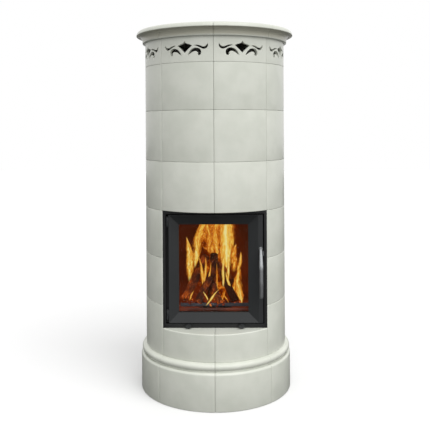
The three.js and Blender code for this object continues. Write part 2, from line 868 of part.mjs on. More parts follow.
function doorLeaf() {
  const flangeBackY = leafFrontY + flangeThickness;
  const flange = block([leafLeft, leafFrontY, leafBottom], [leafRight, flangeBackY, leafTop]);
  const body = block([leafLeft, leafFrontY, leafBottom], [chamferRight, leafBackY, leafTop]);
  const chamferEdge = {
    left: leafLeft + chamferBorder,
    right: chamferRight,
    bottom: leafBottom + chamferBorder,
    top: leafTop - chamferBorder,
  };
  const chamfer = funnel(chamferEdge, sight, leafFrontY, leafFrontY + chamferDepth);
  const sightHole = block(
    [sight.left, leafFrontY - pass, sight.bottom],
    [sight.right, leafBackY + pass, sight.top],
  );
  const pocket = block(
    [glassPocket.left, glassFrontY - seat, glassPocket.bottom],
    [glassPocket.right, leafBackY + pass, glassPocket.top],
  );
  const groove = loop(
    grown(gasketEdge, seat), gasketWidth + 2 * seat, leafBackY - gasketGroove - seat, leafBackY + pass,
  );
  const bore = fromFront(
    spindleX, spindleZ, spindleRadius + runningGap, leafFrontY - pass, leafBackY + pass,
  );
  const tongueRoomBase = spindleZ - tongueLength - 2 * tongueSweepGap;
  const tongueRoom = block(
    [gasketEdge.right + tongueSweepGap, tongueFrontY - 2 * seat, tongueRoomBase],
    [chamferRight + pass, leafBackY + pass, spindleZ + 2 * spindleRadius],
  );
  const lugs = Object.values(hingeHeights).map((z) => {
    const low = z + frameLugHeight + runningGap;
    const high = low + leafLugHeight;
    const web = block([hingeX, leafFrontY, low], [leafLeft + pass, flangeBackY, high]);
    return hingeLug(low, high, web);
  });
  return join(cut(join(flange, body), chamfer, sightHole, pocket, groove, bore, tongueRoom), ...lugs);
}
add('door_leaf', doorLeaf(), blackSteel);

const glassPane = block(
  [glassEdge.left, glassFrontY, glassEdge.bottom],
  [glassEdge.right, glassBackY, glassEdge.top],
);
add('door_glass', glassPane, stoveGlass);
add('glass_retainer', loop(glassEdge, glassOverlap, glassBackY + seat, leafBackY), blackSteel);
add('door_gasket', loop(gasketEdge, gasketWidth, leafBackY - gasketGroove, pocketFloorY - seat), ropeSeal);

for (const [place, z] of Object.entries(hingeHeights)) {
  const headBase = z + frameLugHeight + leafLugHeight + 2 * runningGap;
  const pin = join(
    upright(hingeX, hingeY, hingePin, z - hingePinTail, headBase + pass),
    upright(hingeX, hingeY, hingeBarrel - seat, headBase, headBase + hingePinHead),
  );
  add(`${place}_hinge_pin`, pin, bareSteel);
}

// ---------------------------------------------------------------- handle and latch

/** A bar lofted through sections: each has a centre, a half width in X and a half thickness. */
function loftedBar(stations, sides = 12) {
  const positions = [];
  const indices = [];
  stations.forEach(({ centre, across, halfWidth, halfThickness }) => {
    for (let i = 0; i < sides; i += 1) {
      const angle = 2 * Math.PI * i / sides;
      const point = centre.clone();
      point.x += halfWidth * Math.cos(angle);
      point.addScaledVector(across, halfThickness * Math.sin(angle));
      positions.push(...point);
    }
  });
  for (let row = 0; row + 1 < stations.length; row += 1) {
    for (let i = 0; i < sides; i += 1) {
      const next = (i + 1) % sides;
      const [a, b] = [row * sides + i, row * sides + next];
      const [c, d] = [a + sides, b + sides];
      indices.push(a, b, c, b, d, c);
    }
  }
  const last = (stations.length - 1) * sides;
  for (let i = 1; i + 1 < sides; i += 1) {
    indices.push(0, i + 1, i);
    indices.push(last, last + i, last + i + 1);
  }
  const geometry = new THREE.BufferGeometry();
  geometry.setAttribute('position', new THREE.Float32BufferAttribute(positions, 3));
  geometry.setIndex(indices);
  return solid(geometry);
}

function doorHandle() {
  const bossY = leafFrontY - leverHalfThickness - 2 * runningGap;
  const outY = leafFrontY - leverStandoff;
  const path = new THREE.CatmullRomCurve3([
    new THREE.Vector3(spindleX, bossY, spindleZ + leverRise),
    new THREE.Vector3(spindleX, bossY - leverBow, spindleZ),
    new THREE.Vector3(spindleX, (bossY + outY) / 2, spindleZ - leverLength * 0.14),
    new THREE.Vector3(spindleX, outY, spindleZ - leverLength * 0.34),
    new THREE.Vector3(spindleX, outY - leverBow, spindleZ - leverLength * 0.7),
    new THREE.Vector3(spindleX, outY, spindleZ - leverLength),
  ]);
  const steps = 14;
  const stations = Array.from({ length: steps + 1 }, (_, i) => {
    const share = i / steps;
    const tangent = path.getTangentAt(share);
    const widening = Math.min(1, share * 2.5);
    return {
      centre: path.getPointAt(share),
      across: new THREE.Vector3(0, -tangent.z, tangent.y),
      halfWidth: leverTopHalfWidth + (leverHalfWidth - leverTopHalfWidth) * widening,
      halfThickness: leverHalfThickness,
    };
  });
  const spindle = fromFront(
    spindleX, spindleZ, spindleRadius, bossY, tongueFrontY + tongueThickness + spindleTail,
  );
  return join(loftedBar(stations), spindle);
}
add('door_handle', doorHandle(), bareSteel);

function latchTongue() {
  const back = tongueFrontY + tongueThickness;
  const half = tongueWidth / 2;
  const tip = spindleZ - tongueLength;
  const blade = new THREE.Shape();
  blade.moveTo(spindleX - half, spindleZ);
  blade.lineTo(spindleX - half, tip + half);
  blade.quadraticCurveTo(spindleX - half, tip, spindleX, tip);
  blade.quadraticCurveTo(spindleX + half, tip, spindleX + half, tip + half);
  blade.lineTo(spindleX + half, spindleZ);
  blade.closePath();
  const hub = fromFront(spindleX, spindleZ, spindleRadius + tongueHub, tongueFrontY, back);
  const bore = fromFront(spindleX, spindleZ, spindleRadius + seat, tongueFrontY - pass, back + pass);
  return cut(join(panel(blade, back, tongueThickness, 3), hub), bore);
}
add('latch_tongue', latchTongue(), bareSteel);

const keeperTop = spindleZ - keeperDrop;
const keeperFrontY = leafFrontY + flangeThickness + 2 * seat;
const keeperRight = frameHalf - lipRight - seat;
const keeperBase = keeperTop - keeperHeight;
const keeper = join(
  block(
    [keeperRight - keeperReach, keeperFrontY, keeperBase],
    [keeperRight, keeperFrontY + keeperThickness, keeperTop],
  ),
  block(
    [keeperRight - keeperWing, keeperFrontY, keeperBase],
    [keeperRight, pocketFloorY - seat, keeperTop],
  ),
);
add('latch_keeper', keeper, bareSteel);

// ---------------------------------------------------------------- air controls

for (const [name, side] of [['left', -1], ['right', 1]]) {
  const x = side * airRodX;
  const knobBackY = faceY - 3 * runningGap;
  const outline = new THREE.Shape();
  const halfWidth = airKnobWidth / 2 - airKnobRounding;
  outline.absellipse(0, 0, halfWidth, airKnobHeight / 2 - airKnobRounding, 0, 2 * Math.PI);
  const knobBody = new THREE.ExtrudeGeometry(outline, {
    depth: airKnobLength - 2 * airKnobRounding,
    bevelEnabled: true,
    bevelSize: airKnobRounding,
    bevelThickness: airKnobRounding,
    bevelSegments: 2,
    curveSegments: 8,
  });
  knobBody.rotateX(Math.PI / 2);
  knobBody.translate(x, knobBackY - airKnobRounding, airRodZ);
  const socket = fromFront(x, airRodZ, airRodRadius + seat, knobBackY - airKnobBore, knobBackY + pass);
  add(`air_knob_${name}`, cut(solid(knobBody), socket), blackSteel);

  const plateFrontY = shellFrontY + airPlateSetback;
  const plateZ = shellBottom + shellWall + seat;
  const slide = join(
    fromFront(x, airRodZ, airRodRadius, knobBackY - airKnobBore + seat, plateFrontY + airPlateThickness),
    block(
      [x - airPlateTab / 2, plateFrontY, plateZ],
      [x + airPlateTab / 2, plateFrontY + airPlateThickness, airRodZ + airRodRadius],
    ),
    block(
      [x - airPlateWidth / 2, plateFrontY, plateZ],
      [x + airPlateWidth / 2, plateFrontY + airPlateLength, plateZ + airPlateThickness],
    ),
  );
  add(`air_slide_${name}`, slide, bareSteel);
}

// ---------------------------------------------------------------- heat storage, flue, stand

const flueBore = fromFront(0, flueZ, flueRadius + runningGap, 0, 2 * stoneRadius, 24);

const lowerStone = turned([
  at(smokeRadius, stoneBase),
  at(stoneRadius, stoneBase),
  at(stoneRadius, stoneSplit),
  at(smokeRadius, stoneSplit),
]);
add('storage_stone_lower', lowerStone, storageStone);

const upperStone = turned([
  at(0, stoneTop - stoneLid),
  at(smokeRadius, stoneTop - stoneLid),
  at(smokeRadius, stoneSplit + seat),
  at(stoneRadius, stoneSplit + seat),
  at(stoneRadius, stoneTop),
  at(0, stoneTop),
]);
add('storage_stone_upper', cut(upperStone, flueBore), storageStone);

const flueStartY = stoneRadius - flueSeat;
const flueOutlet = cut(
  fromFront(0, flueZ, flueRadius, flueStartY, flueEndY, 24),
  fromFront(0, flueZ, flueRadius - flueWall, flueStartY - pass, flueEndY + pass, 24),
);
add('flue_outlet', flueOutlet, blackSteel);

function baseStand() {
  const halfX = shellHalf - standInset;
  const y0 = shellFrontY + standInset;
  const y1 = shellBackY - standInset;
  const top = shellBottom - seat;
  const frameRing = cut(
    block([-halfX, y0, top - standFrameDepth], [halfX, y1, top]),
    block(
      [-halfX + standTube, y0 + standTube, top - standFrameDepth - pass],
      [halfX - standTube, y1 - standTube, top + pass],
    ),
  );
  const pieces = [];
  for (const side of [-1, 1]) {
    for (const y of [y0 + standTube / 2, y1 - standTube / 2]) {
      const x = side * (halfX - standTube / 2);
      const half = standTube / 2;
      pieces.push(block([x - half, y - half, footHeight], [x + half, y + half, top - pass]));
      pieces.push(upright(x, y, footRadius, 0, footHeight + pass, 12));
    }
  }
  const aroundWell = shellWall + standWellGap;
  const well = block(
    [-wellHalfX - aroundWell, grateCentreY - wellHalfY - aroundWell, wellBottom - standWellGap],
    [wellHalfX + aroundWell, grateCentreY + wellHalfY + aroundWell, top + pass],
  );
  return cut(join(frameRing, ...pieces), well);
}
add('base_stand', baseStand(), blackSteel);

export default stove;
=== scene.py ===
# %% [markdown]
# # A round tiled stove
# The stove is a wood-burning insert with a glazed door, wrapped in rings of curved, glazed tiles.
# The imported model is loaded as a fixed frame, in metres: +Z is up, the door faces -Y and the axis
# of the stove stands at the origin. Every fine piece below is built where that frame says, rides on
# one of its bodies, and takes the place of the plain solid that it refines.

# %% Load the frame
import math
import random

import bpy
import bmesh
from mathutils import Matrix, Vector


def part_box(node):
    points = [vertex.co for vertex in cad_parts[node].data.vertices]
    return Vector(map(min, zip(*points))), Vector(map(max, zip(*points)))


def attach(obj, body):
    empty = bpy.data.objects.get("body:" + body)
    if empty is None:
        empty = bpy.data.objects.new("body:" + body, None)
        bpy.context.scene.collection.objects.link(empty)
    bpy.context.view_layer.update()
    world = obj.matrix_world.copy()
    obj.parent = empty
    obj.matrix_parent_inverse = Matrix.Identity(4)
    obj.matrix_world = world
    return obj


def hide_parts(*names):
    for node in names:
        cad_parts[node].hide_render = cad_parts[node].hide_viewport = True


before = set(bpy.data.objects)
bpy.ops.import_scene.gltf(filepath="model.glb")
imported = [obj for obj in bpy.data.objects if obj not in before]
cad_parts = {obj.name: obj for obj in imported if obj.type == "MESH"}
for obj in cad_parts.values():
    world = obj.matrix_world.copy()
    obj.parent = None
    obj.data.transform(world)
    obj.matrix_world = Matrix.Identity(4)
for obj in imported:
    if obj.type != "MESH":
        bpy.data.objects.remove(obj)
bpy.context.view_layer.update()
MM = 0.001

# %% [markdown]
# ## Measures
# A tiled stove is laid out on its tile module, so most places follow from the rings: their heights
# come from the frame's own boxes, and the angles from eight tiles to a ring.

# %% Measures from the frame
TILES = 8
TILE_ANGLE = 2 * math.pi / TILES


def span(node):
    """Lowest and highest height of a node."""
    low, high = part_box(node)
    return low.z, high.z


body_radius = -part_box("course_5_left")[0].x
wall = 35 * MM
inner_radius = body_radius - wall
face_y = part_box("insert_frame")[0].y
frame_back_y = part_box("insert_frame")[1].y
frame_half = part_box("insert_frame")[1].x
print(f"body radius {body_radius / MM:.0f} mm, door plane at {face_y / MM:.0f} mm")

# %% [markdown]
# ## Camera
# The stove was photographed with a level camera about 1.2 m above the floor and 3.1 m from its
# axis. Level verticals stay parallel, so the frame is shifted down instead of the camera tilting.
# It stands 42 mm to the right of the axis, is turned back by as much, and leans a third of a degree.

# %% Camera
camera_distance = 9.51 * body_radius
camera_height = 3.688 * body_radius
focal_pixels = 653.4
image_pixels = 430
horizon_pixel = 127.35
axis_pixel = 214.8
camera_aside = 42 * MM
roll = math.radians(0.3)

camera_data = bpy.data.cameras.new("camera")
camera = bpy.data.objects.new("camera", camera_data)
bpy.context.scene.collection.objects.link(camera)
camera_data.sensor_width = 36
camera_data.lens = focal_pixels / image_pixels * camera_data.sensor_width
camera_data.shift_y = -(image_pixels / 2 - horizon_pixel) / image_pixels
camera_data.shift_x = -(axis_pixel - image_pixels / 2) / image_pixels
camera.location = (camera_aside, -camera_distance, camera_height)
camera.rotation_euler = (math.pi / 2, roll, math.atan(camera_aside / camera_distance))
bpy.context.scene.camera = camera
print(f"lens {camera_data.lens:.1f} mm, shift {camera_data.shift_y:.3f}")

# %% [markdown]
# ## Shader maths as Python
# A material is a small network of nodes. Wrapping a node's output in a class lets the network be
# written as plain arithmetic: an expression on values adds the Math nodes that work it out.


# %% A socket with arithmetic
class Value:
    """One output of a node, on which sums and products add Math nodes."""

    def __init__(self, tree, socket):
        self.tree = tree
        self.socket = socket

    def _math(self, operation, *terms):
        maths = self.tree.nodes.new("ShaderNodeMath")
        maths.operation = operation
        for place, term in enumerate(terms):
            plug(self.tree, maths.inputs[place], term)
        return Value(self.tree, maths.outputs[0])

    def __add__(self, other):
        return self._math("ADD", self, other)

    def __sub__(self, other):
        return self._math("SUBTRACT", self, other)

    def __rsub__(self, other):
        return self._math("SUBTRACT", other, self)

    def __mul__(self, other):
        return self._math("MULTIPLY", self, other)

    __radd__ = __add__
    __rmul__ = __mul__

    def clamp(self):
        return self._math("MINIMUM", self._math("MAXIMUM", self, 0.0), 1.0)

    def smooth(self, low, high):
        """0 below low, 1 above high, with an even slope between."""
        return add_node(self.tree, "ShaderNodeMapRange", {"interpolation_type": "SMOOTHSTEP"},
                        Value=self, From_Min=low, From_Max=high)


def plug(tree, socket, value):
    """Sets a socket to a number or colour, or links a value to it."""
    if isinstance(value, Value):
        tree.links.new(value.socket, socket)
    elif hasattr(value, "__len__") and len(value) == 3 and socket.type == "RGBA":
        socket.default_value = (*value, 1)
    else:
        socket.default_value = value


def add_node(tree, kind, settings=None, output=0, **inputs):
    """Adds a node: settings first, then sockets by name, with _ for a space."""
    made = tree.nodes.new(kind)
    for name, setting in (settings or {}).items():
        if name == "stops":
            ramp = made.color_ramp.elements
            ramp.remove(ramp[1])
            ramp[0].position, ramp[0].color = setting[0][0], (*setting[0][1], 1)
            for place, colour in setting[1:]:
                ramp.new(place).color = (*colour, 1)
        else:
            setattr(made, name, setting)
    for name, value in inputs.items():
        title = name.replace("_", " ")
        sockets = [s for s in made.inputs if s.name == title and s.enabled]
        plug(tree, sockets[0] if sockets else made.inputs[int(name[1:])], value)
    outputs = [s for s in made.outputs if s.enabled]
    return Value(tree, made.outputs[output] if isinstance(output, str) else outputs[output])


class Material:
    """A Principled material, and the shorthands that its network is written with."""

    def __init__(self, name, **constants):
        self.data = bpy.data.materials.new(name)
        self.data.use_nodes = True
        self.tree = self.data.node_tree
        self.shader = self.tree.nodes["Principled BSDF"]
        self.set(**constants)

    def set(self, **inputs):
        for name, value in inputs.items():
            plug(self.tree, self.shader.inputs[name.replace("_", " ")], value)

    def node(self, kind, settings=None, output=0, **inputs):
        """Adds a node of any type. Settings come first, then the values or links of its sockets."""
        return add_node(self.tree, kind, settings, output, **inputs)

    def place(self, scale=(1, 1, 1)):
        """Object coordinates, stretched by a scale along each axis."""
        here = self.node("ShaderNodeTexCoord", output="Object")
        return self.node("ShaderNodeMapping", Vector=here, Scale=scale)

    def along(self, axis, where=None):
        """One coordinate of a place, in metres along X, Y or Z of the object unless told where."""
        return self.node("ShaderNodeSeparateXYZ", output=axis, Vector=where or self.place())

    def attribute(self, name):
        return self.node("ShaderNodeAttribute", {"attribute_name": name}, output="Fac")

    def noise(self, size, detail=3.0, scale=(1, 1, 1), where=None):
        """Cloudy noise with features about size metres across."""
        where = where or self.place(scale)
        return self.node("ShaderNodeTexNoise", Vector=where, Scale=1 / size, Detail=detail)

    def mix(self, factor, first, second):
        """A colour between two colours."""
        made = self.tree.nodes.new("ShaderNodeMix")
        made.data_type = "RGBA"
        factor_socket, first_socket, second_socket, result = 0, 6, 7, 2
        plug(self.tree, made.inputs[factor_socket], factor)
        plug(self.tree, made.inputs[first_socket], first)
        plug(self.tree, made.inputs[second_socket], second)
        return Value(self.tree, made.outputs[result])

    def bump(self, height, distance, strength=1.0):
        return self.node("ShaderNodeBump", Height=height, Distance=distance, Strength=strength)


def srgb(red, green, blue):
    """A colour as it is seen on a screen, 0 to 255, in Blender's linear numbers."""
    def linear(level):
        share = level / 255
        return share / 12.92 if share <= 0.04045 else ((share + 0.055) / 1.055) ** 2.4
    return (linear(red), linear(green), linear(blue))


# %% [markdown]
# ## Studio
# A pale room lights the stove from all round. A soft sun from the front right, 50 degrees up and
# blurred over 60, gives the tiles their roundness, and one weak low light in front lifts the skirt.
# What the camera, the gloss and the glass see of the room is plain white. The floor is white to the
# camera and dull to the light, so it keeps the shadow and throws little light up at the tiles.


# %% World, lights and floor
def make_world(strength):
    """An even light, which the camera, the gloss and the glass see as plain white."""
    world = bpy.data.worlds.new("studio")
    bpy.context.scene.world = world
    world.use_nodes = True
    tree = world.node_tree
    tree.nodes.clear()
    camera_ray, gloss_ray, glass_ray = [add_node(tree, "ShaderNodeLightPath", output=f"Is {kind} Ray")
                                        for kind in ("Camera", "Glossy", "Transmission")]
    seen = (camera_ray + gloss_ray + glass_ray).clamp()
    level = add_node(tree, "ShaderNodeMapRange", Value=seen, To_Min=strength, To_Max=1.0)
    backdrop = add_node(tree, "ShaderNodeBackground", Color=(1, 1, 1), Strength=level)
    plug(tree, tree.nodes.new("ShaderNodeOutputWorld").inputs["Surface"], backdrop)


def new_lamp(name, kind, strength):
    lamp = bpy.data.objects.new(name, bpy.data.lights.new(name, kind))
    bpy.context.scene.collection.objects.link(lamp)
    lamp.data.energy = strength
    return lamp


def soft_light(name, place, target, width, height, watts):
    """A rectangular light that faces a target."""
    lamp = new_lamp(name, "AREA", watts)
    lamp.data.shape = "RECTANGLE"
    lamp.data.size, lamp.data.size_y = width, height
    lamp.location = place
    lamp.rotation_euler = (Vector(target) - Vector(place)).to_track_quat("-Z", "Y").to_euler()


def soft_sun(name, strength, azimuth, elevation, softness):
    """Parallel light from an azimuth (0 is the front, 90 the right), blurred over an angle."""
    lamp = new_lamp(name, "SUN", strength)
    lamp.data.angle = math.radians(softness)
    lamp.rotation_euler = (math.radians(90 - elevation), 0, math.radians(azimuth))


def make_floor(size, seen=0.85, lit=0.12):
    """A floor with one whiteness to the camera and another to the light."""
    bpy.ops.mesh.primitive_plane_add(size=size, location=(0, 0, -0.5 * MM))
    floor = bpy.context.object
    floor.name = "floor"
    paint = Material("floor", Roughness=0.9, Specular_IOR_Level=0.0)
    camera_ray = paint.node("ShaderNodeLightPath", output="Is Camera Ray")
    paint.set(Base_Color=paint.node("ShaderNodeMapRange", Value=camera_ray, To_Min=lit, To_Max=seen))
    floor.data.materials.append(paint.data)


bpy.context.scene.view_settings.view_transform = "Standard"
make_world(strength=0.8)
soft_sun("key", strength=1.95, azimuth=28, elevation=50, softness=60)
soft_light("low", place=(1.0, -2.9, 0.5), target=(0, 0, 0.35), width=2.4, height=0.7, watts=10.5)
make_floor(size=30)
print(len(bpy.data.lights), "lights and a floor")

# %% [markdown]
# ## Modelling helpers
# Each piece starts as a primitive that is shaped in edit mode. Operators act on everything that is
# selected, so the helpers first clear the selection and then pick faces, edges or vertices by place.


# %% Selecting, finishing and copying
def alone(piece=None):
    """Leaves edit mode and selects only this piece."""
    if bpy.context.mode != "OBJECT":
        bpy.ops.object.mode_set(mode="OBJECT")
    bpy.ops.object.select_all(action="DESELECT")
    if piece:
        bpy.context.view_layer.objects.active = piece
        piece.select_set(True)
    return piece


def start(name, add, **settings):
    """Adds a primitive as a new piece."""
    alone()
    add(**settings)
    piece = bpy.context.object
    piece.name = name
    piece.data.name = name
    return piece


def edit(piece):
    alone(piece)
    bpy.ops.object.mode_set(mode="EDIT")


def pick(piece, kind, test):
    """Selects what passes a test, of the piece that is being edited; kind is VERT, EDGE or FACE."""
    bpy.ops.mesh.select_mode(type=kind)
    bpy.ops.mesh.select_all(action="DESELECT")
    mesh = bmesh.from_edit_mesh(piece.data)
    for item in {"VERT": mesh.verts, "EDGE": mesh.edges, "FACE": mesh.faces}[kind]:
        item.select_set(bool(test(item)))
    mesh.select_flush_mode()
    bmesh.update_edit_mesh(piece.data)


def cut_flat(place, normal, **settings):
    """Cuts the whole piece that is being edited along a plane."""
    bpy.ops.mesh.select_all(action="SELECT")
    bpy.ops.mesh.bisect(plane_co=place, plane_no=normal, **settings)


def outward():
    """Merges doubles and turns all faces of the edited piece outwards."""
    bpy.ops.mesh.select_all(action="SELECT")
    bpy.ops.mesh.remove_doubles(threshold=1e-6)
    bpy.ops.mesh.normals_make_consistent(inside=False)


def modifier(piece, kind, **settings):
    """Adds a modifier and applies it."""
    alone(piece)
    made = piece.modifiers.new(kind.lower(), kind)
    for name, value in settings.items():
        setattr(made, name, value)
    bpy.ops.object.modifier_apply(modifier=made.name)
    return piece


def soften(piece, width, segments=2, angle=40):
    """Rounds every sharp edge a little, as a casting, a fold or a glaze does."""
    modifier(piece, "BEVEL", width=width, segments=segments, limit_method="ANGLE",
             angle_limit=math.radians(angle), use_clamp_overlap=True, harden_normals=False)
    return shade(piece)


def shade(piece, angle=35):
    alone(piece)
    bpy.ops.object.shade_smooth_by_angle(angle=math.radians(angle))
    return piece


def cube(name, low, high):
    """A block between two corners."""
    centre = [(a + b) / 2 for a, b in zip(low, high)]
    piece = start(name, bpy.ops.mesh.primitive_cube_add, size=1, location=centre)
    piece.scale = [b - a for a, b in zip(low, high)]
    bpy.ops.object.transform_apply(location=True, rotation=True, scale=True)
    return piece


def bar(name, radius, begin, end, sides=32):
    """A round bar from one point to another."""
    begin, end = Vector(begin), Vector(end)
    piece = start(name, bpy.ops.mesh.primitive_cylinder_add, vertices=sides, radius=radius,
                  depth=(end - begin).length, location=(begin + end) / 2)
    piece.rotation_euler = (end - begin).to_track_quat("Z", "Y").to_euler()
    bpy.ops.object.transform_apply(location=True, rotation=True, scale=True)
    return piece


def combine(piece, other, operation="DIFFERENCE"):
    """Cuts or joins with another piece, which is used up."""
    modifier(piece, "BOOLEAN", object=other, operation=operation, solver="EXACT")
    bpy.data.objects.remove(other)
    return piece


def copy_of(piece, name, turn=0.0):
    """A copy with its own mesh, turned about the stove's axis."""
    twin = piece.copy()
    twin.data = piece.data.copy()
    twin.name = twin.data.name = name
    bpy.context.scene.collection.objects.link(twin)
    twin.data.transform(Matrix.Rotation(turn, 4, "Z"))
    return twin


def dress(piece, material, body="root", replaces=()):
    """Gives a piece its material and the body it rides on, and the nodes that it stands for."""
    piece.data.materials.clear()
    piece.data.materials.append(material.data)
    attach(piece, body)
    if replaces:
        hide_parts(*replaces)
    return piece


# %% [markdown]
# ## Glaze
# The tiles are glazed in a pale grey green that is nearly white. Glaze is glassy: its colour comes
# from below a clear, slightly wavy surface, it gathers a little unevenly, and each tile leaves the
# kiln in a slightly different shade. That shade is kept on each tile as an attribute called tone.
# The shade in the cornice's cove is painted into the glaze as a darker colour, which an attribute keeps.

# %% Tile glaze
def make_glaze():
    glaze = Material("tile_glaze", IOR=1.45, Specular_IOR_Level=0.35, Coat_Weight=0.08, Coat_Roughness=0.1)
    tone = glaze.attribute("tone")
    here = glaze.place()
    shifted = glaze.node("ShaderNodeVectorMath", {"operation": "ADD"}, _0=here,
                         _1=glaze.node("ShaderNodeCombineXYZ", X=tone, Y=tone * 3.0, Z=tone * 7.0))
    cloud = glaze.noise(0.09, 4.0, where=shifted)
    speck = glaze.noise(0.004, 2.0, where=shifted)
    pale = srgb(214, 216, 206)
    deep = srgb(201, 204, 193)
    colour = glaze.mix((cloud.smooth(0.3, 0.7) * 0.6 + tone * 0.4).clamp(), deep, pale)
    colour = glaze.mix(speck.smooth(0.66, 0.8) * 0.25, colour, srgb(188, 188, 174))
    # Painted shade: where a tile is marked in its cove, the glaze turns a deeper grey.
    colour = glaze.mix(glaze.attribute("pool"), colour, srgb(180, 179, 163))
    wave = glaze.noise(0.05, 2.0, where=shifted)
    glaze.set(Base_Color=colour, Roughness=cloud * 0.12 + 0.26,
              Normal=glaze.bump(wave, 0.0016, 0.35))
    return glaze


glaze = make_glaze()

# %% [markdown]
# ## One tile, turned
# A curved tile is a section of a ring. Its section is drawn once, as a flat outline at the tile's
# joint, and spun about the stove's axis through one tile's angle. Then the ends of its face are
# rounded like the rest. The joint between two tiles is left open by 0.8 mm.

# %% Turning a tile from its section
joint = 0.8 * MM
arris = 2.5 * MM
half_joint_angle = joint / 2 / body_radius


def arc(centre_r, centre_z, radius, begin, end, steps, tall=None):
    """Points of a round moulding in (radius, height); angles in degrees, 0 outwards."""
    tall = radius if tall is None else tall
    turns = [math.radians(begin + (end - begin) * i / steps) for i in range(steps + 1)]
    return [(centre_r + radius * math.cos(t), centre_z + tall * math.sin(t)) for t in turns]


def turned_tile(name, section, steps=20):
    """A tile whose section is a list of (radius, height) points, from the front centre to 45 degrees."""
    piece = start(name, bpy.ops.mesh.primitive_circle_add, vertices=len(section), fill_type="NGON")
    for vertex, (radius, height) in zip(piece.data.vertices, section):
        vertex.co = (radius * math.sin(half_joint_angle), -radius * math.cos(half_joint_angle), height)
    edit(piece)
    bpy.ops.mesh.select_all(action="SELECT")
    bpy.ops.mesh.spin(steps=steps, angle=2 * half_joint_angle - TILE_ANGLE, center=(0, 0, 0),
                      axis=(0, 0, 1), dupli=False)
    outward()
    round_ends(piece)
    return shade(piece, 50)


def round_ends(piece):
    """Rounds the upright arrises at both ends of a tile's face, and leaves its back sharp."""
    back = inner_radius + 6 * MM

    def at_end(edge):
        angles = [math.atan2(v.co.x, -v.co.y) for v in edge.verts]
        ends = [end for end in (0, TILE_ANGLE) if all(abs(a - end) < half_joint_angle * 1.2 for a in angles)]
        return ends and all(v.co.xy.length > back for v in edge.verts)
    pick(piece, "EDGE", at_end)
    bpy.ops.mesh.bevel(offset=arris * 0.7, segments=3, affect="EDGES")


def plain_face(low, high):
    """The front of a plain tile, with a rounded arris below and above."""
    edge = body_radius - arris
    return [*arc(edge, low + arris, arris, -90, 0, 4), *arc(edge, high - arris, arris, 0, 90, 4)]


random.seed(7)


def lay_ring(name, tile, numbers, nodes, trim=None):
    """Copies a tile round the ring at the given places, 0 being right of the front joint."""
    laid = []
    for number in numbers:
        piece = copy_of(tile, f"{name}_tile_{number % TILES + 1}", number * TILE_ANGLE)
        if trim:
            trim(piece)
        set_tone(piece)
        laid.append(dress(piece, glaze))
    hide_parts(*nodes)
    bpy.data.objects.remove(tile)
    return laid


def set_level(piece, name, level):
    """Stores one number all over a piece, for its material to read."""
    attribute = piece.data.attributes.new(name, "FLOAT", "POINT")
    attribute.data.foreach_set("value", [level] * len(piece.data.vertices))


def set_tone(piece):
    """Stores the shade that this tile came out of the kiln with."""
    set_level(piece, "tone", random.random())


def ring_nodes(name, places=("front_left", "front_right", "left", "right")):
    """The nodes of a ring that its loose tiles stand for together."""
    return [f"{name}_{place}" for place in places]


print(f"joint {joint / MM:.1f} mm, arris {arris / MM:.1f} mm,", TILES, "tiles to a ring")


# %% [markdown]
# ## Plinth
# The plinth has a tall skirt with a rounded shoulder, a narrow neck and a round bead that catches
# the light. One tile is turned from this section, and the ring is laid with copies of it.


# %% Plinth ring
def make_plinth():
    low, high = span("plinth_left")
    skirt_radius = -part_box("plinth_left")[0].x
    skirt_top = high - 37.8 * MM
    foot = 2 * MM
    shoulder = 12 * MM
    neck_radius = body_radius + 7 * MM
    bead = 15 * MM
    bead_reach = body_radius + 19 * MM
    section = [(inner_radius, high), (inner_radius, low),
               *arc(skirt_radius - foot, low + foot, foot, -90, 0, 2),
               *arc(skirt_radius - shoulder, skirt_top - shoulder, shoulder, 0, 90, 8),
               (neck_radius, skirt_top),
               *arc(bead_reach - bead, high - 2 * MM - bead, bead, -90, 90, 16),
               (body_radius + 1 * MM, high)]
    tile = turned_tile("plinth", section)
    return lay_ring("plinth", tile, range(TILES), ring_nodes("plinth"))


print("plinth:", len(make_plinth()), "tiles")

# %% [markdown]
# ## Cornice
# The cornice steps out from the frieze, sweeps up in a cove, and ends in a lip whose brow slopes
# back and catches the light from above. The cove lies in shade under the lip, and that shade is
# painted into the glaze: the tile is marked there with an attribute that darkens its colour.


# %% Cornice ring
def make_cornice():
    low, high = span("cornice_left")
    fillet, fillet_top = body_radius + 13 * MM, low + 9 * MM
    cove, cove_tall = 19 * MM, 25 * MM
    reach = -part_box("cornice_left")[0].x
    lip = 21 * MM
    nose = 3 * MM
    brow, brow_tall, brow_start = 13 * MM, 17.2 * MM, 30
    inner = inner_radius + 16 * MM
    ledge = high - 17.3 * MM
    section = [(inner, high), (inner, ledge), (inner_radius, ledge), (inner_radius, low),
               (fillet - 1 * MM, low), (fillet, low + 1 * MM),
               *arc(fillet + cove, fillet_top, -cove, 0, 90, 10, tall=cove_tall),
               *arc(reach - nose, high - lip + nose, nose, -90, 15, 5),
               *arc(reach - brow, high - 2 * brow_tall, brow / math.cos(math.radians(brow_start)),
                    brow_start, 90, 8, tall=2 * brow_tall)]
    tile = turned_tile("cornice", section)
    # Marks the cove, shaded by the lip, for the glaze's painted shade.
    pool = tile.data.attributes.new("pool", "FLOAT", "POINT")
    for vertex, value in zip(tile.data.vertices, pool.data):
        in_cove = low + 8 * MM < vertex.co.z < high - lip + 1 * MM
        value.value = float(in_cove and vertex.co.xy.length > body_radius)
    return lay_ring("cornice", tile, range(TILES), ring_nodes("cornice"))


print("cornice:", len(make_cornice()), "tiles")

# %% [markdown]
# ## Plain courses
# The six plain courses differ only in height. Beside the door the tiles are cut straight, so a
# plane cuts each copy that crosses the frame. At the back the sixth course is bored for the flue.

# %% Plain courses
flue_low, flue_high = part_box("flue_outlet")
flue_z = (flue_low.z + flue_high.z) / 2
flue_radius = (flue_high.z - flue_low.z) / 2
flue_gap = 8 * MM


